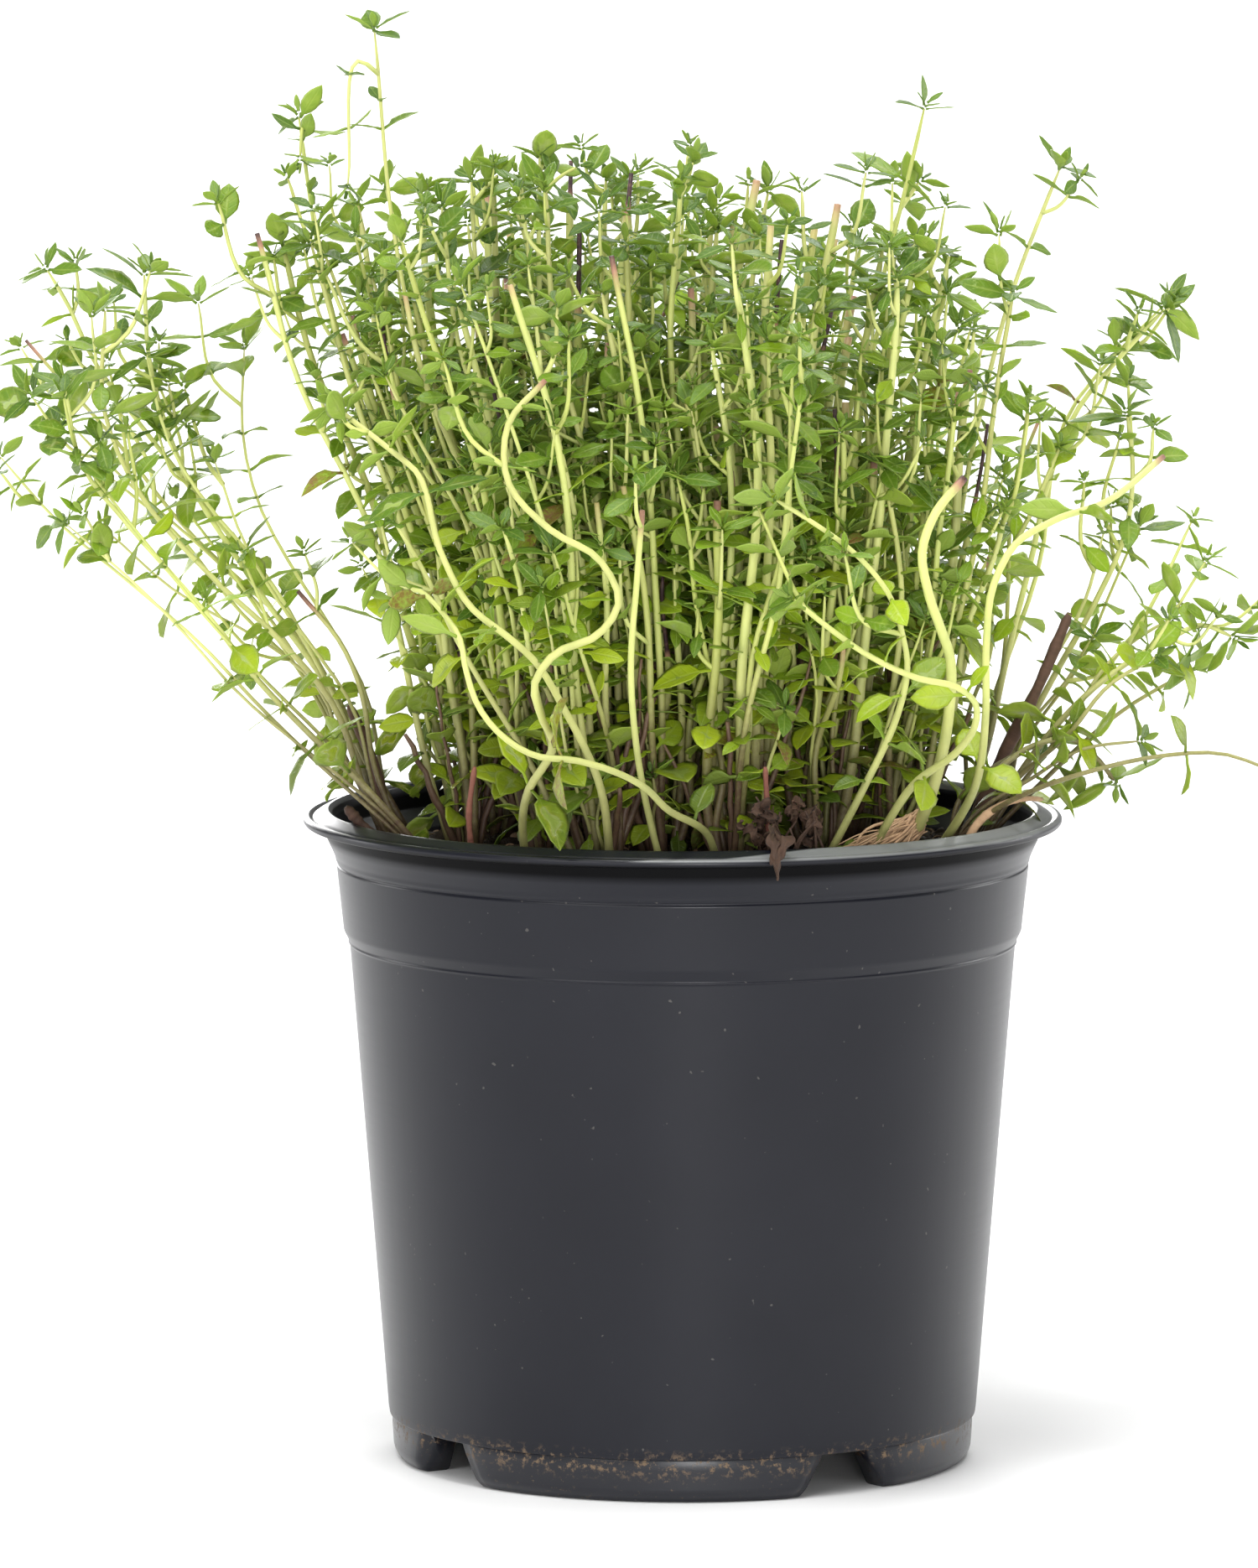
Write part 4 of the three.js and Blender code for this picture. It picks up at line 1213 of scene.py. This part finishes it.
def make_soil(material):
    """The root ball: a turned body whose top is a lumpy mound, strewn with crumbs and fibres."""
    rng = np.random.default_rng(41)
    batch = Batch()
    sides, mound_rings = 160, 44
    angle = np.arange(sides) * 2 * math.pi / sides
    low = np.array([
        (0.02, FLOOR_TOP + FIT),
        (WALL_FOOT_RADIUS - WALL - FIT, FLOOR_TOP + FIT),
        (WALL_TOP_RADIUS - WALL - FIT, WALL_TOP),
        (BED_RADIUS, BAND_BASE + FIT),
        (WALL_INNER - FIT, SOIL_EDGE - 1.5),
    ])
    rings = np.linspace(1, 0.0, mound_rings) ** 0.8
    top_radius = np.maximum((WALL_INNER - FIT) * rings, 0.02)
    radius = np.concatenate([low[:, 0], top_radius])
    x = radius[:, None] * np.cos(angle)
    y = radius[:, None] * np.sin(angle)
    z = np.broadcast_to(np.concatenate([low[:, 1], np.zeros(mound_rings)])[:, None], x.shape).copy()
    top = slice(len(low), None)
    fade = np.clip((1 - rings) * 12, 0, 1)[:, None]
    z[top] = soil_top(x[top], y[top]) - 0.6 + lumps(x[top], y[top], rng) * fade
    batch.add(np.stack([x, y, z], -1).reshape(-1, 3), grid_faces(len(radius), sides))
    count = 1500
    spread = (WALL_INNER - 2.5) * np.sqrt(rng.random(count))
    turn = rng.uniform(0, 2 * math.pi, count)
    px, py = spread * np.cos(turn), spread * np.sin(turn)
    size = rng.gamma(2.2, 0.34, count).clip(0.25, 2.1)
    long = size * rng.uniform(0.8, 2.6, count)
    lean, yaw = rng.uniform(-0.5, 0.5, count), rng.uniform(0, 2 * math.pi, count)
    axis = np.stack([np.cos(yaw) * np.cos(lean), np.sin(yaw) * np.cos(lean), np.sin(lean)], 1)
    middle = np.stack([px, py, soil_top(px, py) - 0.2 + size * 0.4 * rng.random(count)], 1)
    share = np.array([-1, -0.6, 0.1, 0.7, 1])
    paths = middle[:, None] + axis[:, None] * (share[None] * long[:, None] * 0.5)[..., None]
    swell = np.array([0.25, 0.85, 1.0, 0.75, 0.2])[None] * size[:, None] * 0.5
    swell = swell * rng.uniform(0.7, 1.3, swell.shape)
    shade = np.zeros((count, 4))
    shade[:, 1] = rng.random(count)
    shade[:, 2] = (rng.random(count) < 0.13) * rng.uniform(0.4, 1.0, count)
    add_tubes(batch, paths, swell, 5, shade, squareness=0.0)
    fibres, joints = 150, 8
    spread, turn = (WALL_INNER - 5) * np.sqrt(rng.random(fibres)), rng.uniform(0, 2 * math.pi, fibres)
    start = np.stack([spread * np.cos(turn), spread * np.sin(turn)], 1)
    yaw, bend = rng.uniform(0, 2 * math.pi, fibres), rng.normal(0, 0.9, fibres)
    share = np.linspace(0, 1, joints)
    heading = yaw[:, None] + bend[:, None] * share[None]
    long = rng.uniform(2.5, 8, fibres)
    steps = np.cumsum(np.stack([np.cos(heading), np.sin(heading)], -1), 1)
    path = start[:, None] + steps * (long / joints)[:, None, None]
    reach = np.linalg.norm(path, axis=-1, keepdims=True)
    path = path * np.minimum(1, (WALL_INNER - 1.2) / reach)
    height = soil_top(path[..., 0], path[..., 1]) + 0.25 + 0.5 * np.sin(share * math.pi)[None]
    paths = np.concatenate([path, height[..., None]], -1)
    shade = np.zeros((fibres, 4))
    shade[:, 1], shade[:, 2] = rng.random(fibres), rng.uniform(0.25, 1.0, fibres)
    radii = np.repeat(rng.uniform(0.1, 0.24, fibres)[:, None], joints, 1)
    add_tubes(batch, paths, radii, 5, shade, squareness=0.0)
    soil = batch.build("soil_mound", [material])
    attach(soil, "root")
    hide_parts("potting_soil")
    return soil


def around_axis(degrees, radius, height):
    """A point seen from the pot's axis: degrees from +X, distance and height."""
    turn = math.radians(degrees)
    return np.array([radius * math.cos(turn), radius * math.sin(turn), height])


def stalk(name, node, route, radius, material, rng, knots=0.15, count=30, flat=1.0):
    """A dead stalk: a rough tube with swollen knots along the route."""
    batch = Batch()
    path = smooth_path(route, count)
    share = np.linspace(0, 1, count)
    radii = radius * (1 - 0.3 * share) * (1 + knots * np.sin(share * 19 + rng.uniform(0, 6)) ** 3)
    radii = radii * rng.uniform(0.92, 1.08, count)
    radii[[0, -1]] *= 0.55
    tint = np.array([[0, rng.random(), 0, 0]])
    add_tubes(batch, path[None], radii[None], 9, tint, squareness=0.1, flat=flat)
    piece = batch.build(name, [material])
    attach(piece, "root")
    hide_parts(node)
    return piece


def standing(points):
    """Route of a stalk that stands on the mound. Its other points are heights above the soil's edge."""
    route = np.array(points, float) + (0, 0, SOIL_EDGE)
    route[0, 2] = soil_top(*route[0, :2]) + 0.4
    return route


def make_pebble(material):
    """Pebble: an ellipsoid with two soft waves over it."""
    batch = Batch()
    rings, sides = 24, 32
    long, wide, tall = 3.7, 2.6, 2.2
    rise = np.linspace(0.02, math.pi - 0.02, rings)[::-1, None]
    angle = (np.arange(sides) * 2 * math.pi / sides)[None]
    swell = 1 + 0.06 * np.sin(3 * angle + 2 * rise) + 0.05 * np.cos(2 * angle - 3 * rise)
    x = long * np.sin(rise) * np.cos(angle) * swell
    y = wide * np.sin(rise) * np.sin(angle) * swell
    z = tall * np.cos(rise) * swell
    turn = 1.5
    seat = around_axis(196.3, WALL_INNER - 4.6, 0)
    height = soil_top(*seat[:2]) + tall
    points = np.stack(
        [x * math.cos(turn) - y * math.sin(turn) + seat[0], x * math.sin(turn) + y * math.cos(turn) + seat[1],
         z + height], -1
    )
    batch.add(points.reshape(-1, 3), grid_faces(rings, sides))
    piece = batch.build("pebble_by_wall", [material])
    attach(piece, "root")
    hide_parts("pebble")
    return piece


def crumpled_strip(batch, route, width, rng, count=40, fold=0.9, sides=14):
    """A shrivelled leaf: a flat section that pinches, folds and twists along the route."""
    path = smooth_path(route, count)
    share = np.linspace(0, 1, count)
    tangent, across, up = (a[0] for a in carried_frames(path[None]))
    twist = fold * np.sin(share * rng.uniform(5, 9) + rng.uniform(0, 6))
    side = across * np.cos(twist)[:, None] + up * np.sin(twist)[:, None]
    face = np.cross(tangent, side)
    half = width / 2 * np.sin(math.pi * np.clip(share * 0.94 + 0.04, 0, 1)) ** 0.6
    half = half * (1 + 0.3 * np.sin(share * 23 + rng.uniform(0, 6)))
    angle = np.arange(sides) * 2 * math.pi / sides
    cross = np.cos(angle)
    wrinkle = 0.35 * np.sin(cross[None] * 5 + share[:, None] * 21) + 0.5 * fold * np.abs(cross)[None]
    lift = 0.16 * np.sin(angle)[None] + half[:, None] * wrinkle * 0.8
    points = path[:, None] + side[:, None] * (half[:, None] * cross)[..., None]
    points = points + face[:, None] * lift[..., None]
    tint = np.tile((0, rng.random(), 0, 0), (count * sides, 1))
    along = np.stack(np.broadcast_arrays(share[:, None], (cross[None] + 1) / 2), -1)
    batch.add(points.reshape(-1, 3), grid_faces(count, sides), tint, along.reshape(-1, 2))


def make_leaf_curl(material):
    """Dead leaves that hang over the front lip from a crumpled heap on the soil behind it."""
    rng = np.random.default_rng(77)
    batch = Batch()
    for turn, width, drop in ((-76.6, 3.3, 4.4), (-77.6, 2.3, 1.8)):
        crumpled_strip(batch, [
            around_axis(turn + 2.5, LIP_INNER - 4.5, POT_HEIGHT + 1),
            around_axis(turn + 1.5, LIP_INNER + 1, POT_HEIGHT + 2.6),
            around_axis(turn + 0.5, RIM_RADIUS + 1.4, POT_HEIGHT + 1.6),
            around_axis(turn, RIM_RADIUS + 2.4, POT_HEIGHT - drop * 0.4),
            around_axis(turn, RIM_RADIUS + 1.7, POT_HEIGHT - drop),
        ], width, rng, fold=1.2)
    for _ in range(15):
        turn = rng.uniform(-79, -66)
        inner, height = rng.uniform(0, 7), rng.uniform(1.5, 9.5)
        foot = around_axis(turn, LIP_INNER - 3 - inner, POT_HEIGHT - 3 + height)
        lean = np.array([rng.uniform(-3.5, 3.5), rng.uniform(-3, 1.5), rng.uniform(-1.5, 3)])
        curl = np.array([rng.uniform(-2, 2), rng.uniform(-2, 1), rng.uniform(-2.5, 1)])
        crumpled_strip(batch, [foot, foot + lean * 0.5, foot + lean + curl * 0.4, foot + lean + curl],
                       rng.uniform(2.0, 4.2), rng, count=22, fold=1.4, sides=10)
    stalks = []
    for _ in range(9):
        foot = around_axis(
            rng.uniform(-80, -64), LIP_INNER - rng.uniform(3, 9), POT_HEIGHT - rng.uniform(2, 7)
        )
        lean = np.array([rng.uniform(-5, 5), rng.uniform(-3, 2), rng.uniform(6, 13)])
        stalks.append(smooth_path([foot, foot + lean * (0.3, 0.6, 0.5), foot + lean], 10))
    add_tubes(batch, stalks, np.full((9, 10), 0.3) * np.linspace(1, 0.6, 10), 5)
    piece = batch.build("dead_leaves_on_lip", [material])
    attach(piece, "root")
    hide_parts("dead_leaf_curl")
    return piece


def make_root_tuft(material):
    """A tuft of dry roots by the wall: thin strands that start together and fan out over the soil."""
    rng = np.random.default_rng(12)
    batch = Batch()
    reach = WALL_INNER - 1.6
    strands, count = 78, 14
    share = np.linspace(0, 1, count)
    paths = []
    for _ in range(strands):
        start = around_axis(
            -45 + rng.normal(0, 1.0), reach - rng.uniform(0, 2.0), POT_HEIGHT + rng.uniform(0.5, 4.5)
        )
        turn = -54 + rng.normal(0, 2.5)
        middle = around_axis(turn, reach + rng.uniform(-4, 0.6), POT_HEIGHT - 4 + rng.uniform(0, 5))
        end = around_axis(
            turn - rng.uniform(4, 16), reach + rng.uniform(-8, 0.4), SOIL_EDGE + rng.uniform(1.5, 6.5)
        )
        path = smooth_path([start, middle, end], count)
        waves = np.sin(share[:, None] * rng.uniform(4, 14, 3) + rng.uniform(0, 6, 3)) * (0.5, 0.5, 0.6)
        paths.append(path + waves * share[:, None])
    radii = rng.uniform(0.12, 0.36, strands)[:, None] * (1 - 0.5 * share)[None]
    shade = np.zeros((strands, 4))
    shade[:, 1] = rng.random(strands)
    add_tubes(batch, paths, radii, 5, shade, squareness=0.0)
    piece = batch.build("dry_roots", [material])
    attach(piece, "root")
    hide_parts("dry_root_tuft")
    return piece


# ---- Properties, operators and panel ----


class ThymeSizes(bpy.types.PropertyGroup):
    """Sizes, counts and the light, which a user may change. The frame sets the rest."""

    leaf_length: FloatProperty(name="Leaf length", description="Length of a full leaf in millimetres",
                               default=9.4, min=3, max=15)
    thin_stems: IntProperty(name="Thin stems", description="Thin stems of a plant beside its main ones",
                            default=6, min=0, max=12)
    sprigs: IntProperty(name="Sprigs", description="Rooted plants in the body of the bush",
                        default=SPRIG_COUNT, min=1, max=SPRIG_COUNT)
    light: FloatProperty(name="Light", description="Strength of the studio light", default=1.0, min=0, max=4)


class ThymeColours(bpy.types.PropertyGroup):
    """Base colours of the finishes."""

    leaf_dark: FloatVectorProperty(name="Young leaf", description="Upper side of leaves near the tips",
                                   subtype="COLOR", default=(0.06, 0.128, 0.01))
    leaf_mid: FloatVectorProperty(name="Leaf", description="Upper side of full leaves",
                                  subtype="COLOR", default=(0.2, 0.325, 0.012))
    leaf_yellow: FloatVectorProperty(name="Old leaf", description="Upper side of the lowest leaves",
                                     subtype="COLOR", default=(0.36, 0.47, 0.014))
    leaf_under: FloatVectorProperty(name="Leaf underside", description="Paler lower side of the leaves",
                                    subtype="COLOR", default=(0.27, 0.375, 0.065))
    stem_green: FloatVectorProperty(name="Green stem", description="Greener stems",
                                    subtype="COLOR", default=(0.5, 0.56, 0.12))
    stem_pale: FloatVectorProperty(name="Pale stem", description="Paler stems",
                                   subtype="COLOR", default=(0.7, 0.73, 0.26))
    plastic: FloatVectorProperty(name="Pot", description="Colour of the pot",
                                 subtype="COLOR", default=(0.004, 0.0045, 0.0085))


def finish(name, make, *arguments):
    """A material by name, made once."""
    return bpy.data.materials.get(name) or make(*arguments)


class ThymeOperator(bpy.types.Operator):
    """Shared parts of the operators that make pieces."""

    bl_options = {"REGISTER", "UNDO"}

    def green(self, context):
        """The plants' two materials."""
        colours = context.scene.thyme_colours
        return finish("thyme_stem", stem_finish, colours), finish("thyme_leaf", leaf_finish, colours)


class THYME_OT_pot(ThymeOperator):
    """Make the nursery pot"""

    bl_idname = "thyme.pot"
    bl_label = "Pot"

    def execute(self, context):
        make_pot(finish("satin_plastic", pot_finish, context.scene.thyme_colours))
        return {"FINISHED"}


class THYME_OT_soil(ThymeOperator):
    """Make the potting soil and what is strewn on it"""

    bl_idname = "thyme.soil"
    bl_label = "Soil"

    def execute(self, context):
        make_soil(finish("damp_compost", soil_finish))
        return {"FINISHED"}


class THYME_OT_bush(ThymeOperator):
    """Grow the rooted plants of the bush"""

    bl_idname = "thyme.bush"
    bl_label = "Bush"

    def execute(self, context):
        stem, leaf = self.green(context)
        for index in range(context.scene.thyme_sizes.sprigs):
            grow_sprig(index, context.scene.thyme_sizes, stem, leaf)
        return {"FINISHED"}


class THYME_OT_shoots(ThymeOperator):
    """Grow the single shoots in front of the bush and at its sides"""

    bl_idname = "thyme.shoots"
    bl_label = "Single shoots"

    def execute(self, context):
        stem, leaf = self.green(context)
        for name in SHOOTS:
            grow_shoot(name, context.scene.thyme_sizes, stem, leaf)
        return {"FINISHED"}


class THYME_OT_dead_bits(ThymeOperator):
    """Make the pebble, the dead stalks and the dry leaves and roots"""

    bl_idname = "thyme.dead_bits"
    bl_label = "Dead bits"

    def execute(self, context):
        rng = np.random.default_rng(5)
        wood = finish("old_bark", dry_finish, "old_bark", *BARK_TONES)
        rust = finish("rusty_stalk", dry_finish, "rusty_stalk", *RUST_TONES)
        straw = finish("bleached_straw", dry_finish, "bleached_straw", *STRAW_TONES)
        brown = finish("crumpled_leaf", dry_finish, "crumpled_leaf", *DEAD_LEAF_TONES)
        make_pebble(finish("freckled_pebble", stone_finish))
        stalk("stub_by_wall", "twig_stub", [
            around_axis(203, WALL_INNER - 3.9, SOIL_EDGE + 3),
            around_axis(202, LIP_INNER - 2.8, POT_HEIGHT - 2.2),
            around_axis(201, LIP_INNER + 1.2, POT_HEIGHT + 2.7),
        ], 1.15, wood, rng)
        stalk("red_stalk_left", "dead_stalk_left", standing([(-35, -37, 0), (-36, -41, 13), (-35, -43, 21)]),
              0.6, rust, rng)
        stalk("red_stalk_right", "dead_stalk_right", standing([(14, -49, 0), (14, -50, 11), (13.5, -52, 22)]),
              0.6, rust, rng)
        stalk("old_stem_left", "woody_stem_left", standing([(-50, -2, 0), (-53, -2.5, 17), (-57, -3, 27)]),
              1.2, wood, rng)
        stalk("old_stem_right", "woody_stem_right",
              standing([(48, -4, 0), (54, -5, 17), (60, -6, 29), (66, -5, 43)]), 1.2, wood, rng)
        stalk("dry_curled_blade", "dry_blade", [
            around_axis(-32, WALL_INNER - 3, SOIL_EDGE + 4),
            around_axis(-29, WALL_INNER - 2, POT_HEIGHT),
            around_axis(-24.5, LIP_INNER - 1.8, POT_HEIGHT + 2.8),
            around_axis(-20, LIP_INNER + 0.8, POT_HEIGHT + 3.9),
            around_axis(-16.5, LIP_INNER + 3.6, POT_HEIGHT + 3.6),
        ], 0.8, straw, rng, knots=0.05, flat=0.5)
        make_root_tuft(straw)
        make_leaf_curl(brown)
        return {"FINISHED"}


class THYME_OT_stage(ThymeOperator):
    """Make the floor, the lights and the camera"""

    bl_idname = "thyme.stage"
    bl_label = "Stage"

    def execute(self, context):
        make_floor()
        make_lights(context.scene.thyme_sizes.light)
        make_camera()
        return {"FINISHED"}


# The stage: the floor's half side in metres, the room as a light, and the camera's place from the pot's
# foot in millimetres, its tilt in radians and its lens in millimetres.
FLOOR_HALF = 6.0
ROOM_LIGHT = 0.3
CAMERA_PLACE = (-9.19, -1900.0, 340.3)
CAMERA_TILT = 0.1175
CAMERA_LENS = 256.4


def make_floor():
    """A wide pale floor under the pot."""
    mesh = bpy.data.meshes.new("floor")
    corners = [(x * FLOOR_HALF, y * FLOOR_HALF, 0) for x, y in ((-1, -1), (1, -1), (1, 1), (-1, 1))]
    mesh.from_pydata(corners, [], [(0, 1, 2, 3)])
    mesh.materials.append(paper_finish("floor_paper", FLOOR_WHITE, 0.8))
    floor = bpy.data.objects.new("floor", mesh)
    bpy.context.scene.collection.objects.link(floor)


# Soft lights that shine from a place towards the pot: name, place, spread in degrees, strength.
LIGHTS = (
    ("top_light", (-0.1, -0.25, 1.2), 60, 1.9),
    ("top_strip", (-0.1, -0.2, 1.0), 12, 1.1),
    ("left_light", (-0.9, -1.3, 0.75), 40, 1.0),
    ("right_light", (1.0, -1.2, 0.4), 35, 0.35),
    ("front_light", (0.12, -1.6, 0.13), 14, 1.25),
    ("back_light", (0.25, 1.0, 0.95), 25, 0.9),
    ("low_back_light", (-0.3, 1.6, 0.2), 22, 1.3),
    ("left_edge_light", (-1.0, 0.5, 0.2), 22, 0.55),
    ("right_edge_light", (1.0, 0.6, 0.2), 22, 0.75),
)


def make_lights(strength):
    """A white room, brighter to the eye than as a light, and the soft lights round the pot."""
    scene = bpy.context.scene
    world = bpy.data.worlds.new("white_room")
    scene.world = world
    world.use_nodes = True
    tree = world.node_tree
    room = tree.nodes["Background"]
    room.inputs["Color"].default_value = (1, 1, 1, 1)
    room.inputs["Strength"].default_value = ROOM_LIGHT * strength
    seen = tree.nodes.new("ShaderNodeBackground")
    seen.inputs["Color"].default_value = (1, 1, 1, 1)
    seen.inputs["Strength"].default_value = 1.0
    choice = tree.nodes.new("ShaderNodeMixShader")
    path = tree.nodes.new("ShaderNodeLightPath")
    tree.links.new(path.outputs["Is Camera Ray"], choice.inputs[0])
    tree.links.new(room.outputs[0], choice.inputs[1])
    tree.links.new(seen.outputs[0], choice.inputs[2])
    tree.links.new(choice.outputs[0], tree.nodes["World Output"].inputs[0])
    for name, place, spread, power in LIGHTS:
        data = bpy.data.lights.new(name, "SUN")
        data.angle = math.radians(spread)
        data.energy = power * strength
        lamp = bpy.data.objects.new(name, data)
        pitch = math.atan2(math.hypot(place[0], place[1]), place[2])
        lamp.rotation_euler = (pitch, 0, math.atan2(-place[1], -place[0]) - math.pi / 2)
        lamp.location = place
        scene.collection.objects.link(lamp)
    scene.view_settings.view_transform = "Standard"


def make_camera():
    """A long lens from in front and a little above."""
    data = bpy.data.cameras.new("camera")
    data.lens = CAMERA_LENS
    data.sensor_width = 36.0
    data.clip_end = 20
    camera = bpy.data.objects.new("camera", data)
    camera.location = ((AXIS + CAMERA_PLACE) * MM).tolist()
    camera.rotation_euler = (math.pi / 2 - CAMERA_TILT, 0, 0)
    bpy.context.scene.collection.objects.link(camera)
    bpy.context.scene.camera = camera


STEPS = ("pot", "soil", "bush", "shoots", "dead_bits", "stage")


class THYME_PT_panel(bpy.types.Panel):
    """Sizes, colours and the operators in order"""

    bl_idname = "THYME_PT_panel"
    bl_label = "Potted thyme"
    bl_space_type = "VIEW_3D"
    bl_region_type = "UI"
    bl_category = "Thyme"

    def draw(self, context):
        for group in (context.scene.thyme_sizes, context.scene.thyme_colours):
            box = self.layout.box()
            for key in group.bl_rna.properties.keys():
                if key not in {"rna_type", "name"}:
                    box.prop(group, key)
        for step in STEPS:
            self.layout.operator(f"thyme.{step}")


CLASSES = (
    ThymeSizes, ThymeColours, THYME_OT_pot, THYME_OT_soil, THYME_OT_bush, THYME_OT_shoots,
    THYME_OT_dead_bits, THYME_OT_stage, THYME_PT_panel,
)


def register():
    for cls in CLASSES:
        bpy.utils.register_class(cls)
    bpy.types.Scene.thyme_sizes = PointerProperty(type=ThymeSizes)
    bpy.types.Scene.thyme_colours = PointerProperty(type=ThymeColours)


def unregister():
    del bpy.types.Scene.thyme_colours
    del bpy.types.Scene.thyme_sizes
    for cls in reversed(CLASSES):
        bpy.utils.unregister_class(cls)


def main():
    """Register the add-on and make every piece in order."""
    register()
    for step in STEPS:
        getattr(bpy.ops.thyme, step)()


if __name__ == "__main__":
    main()
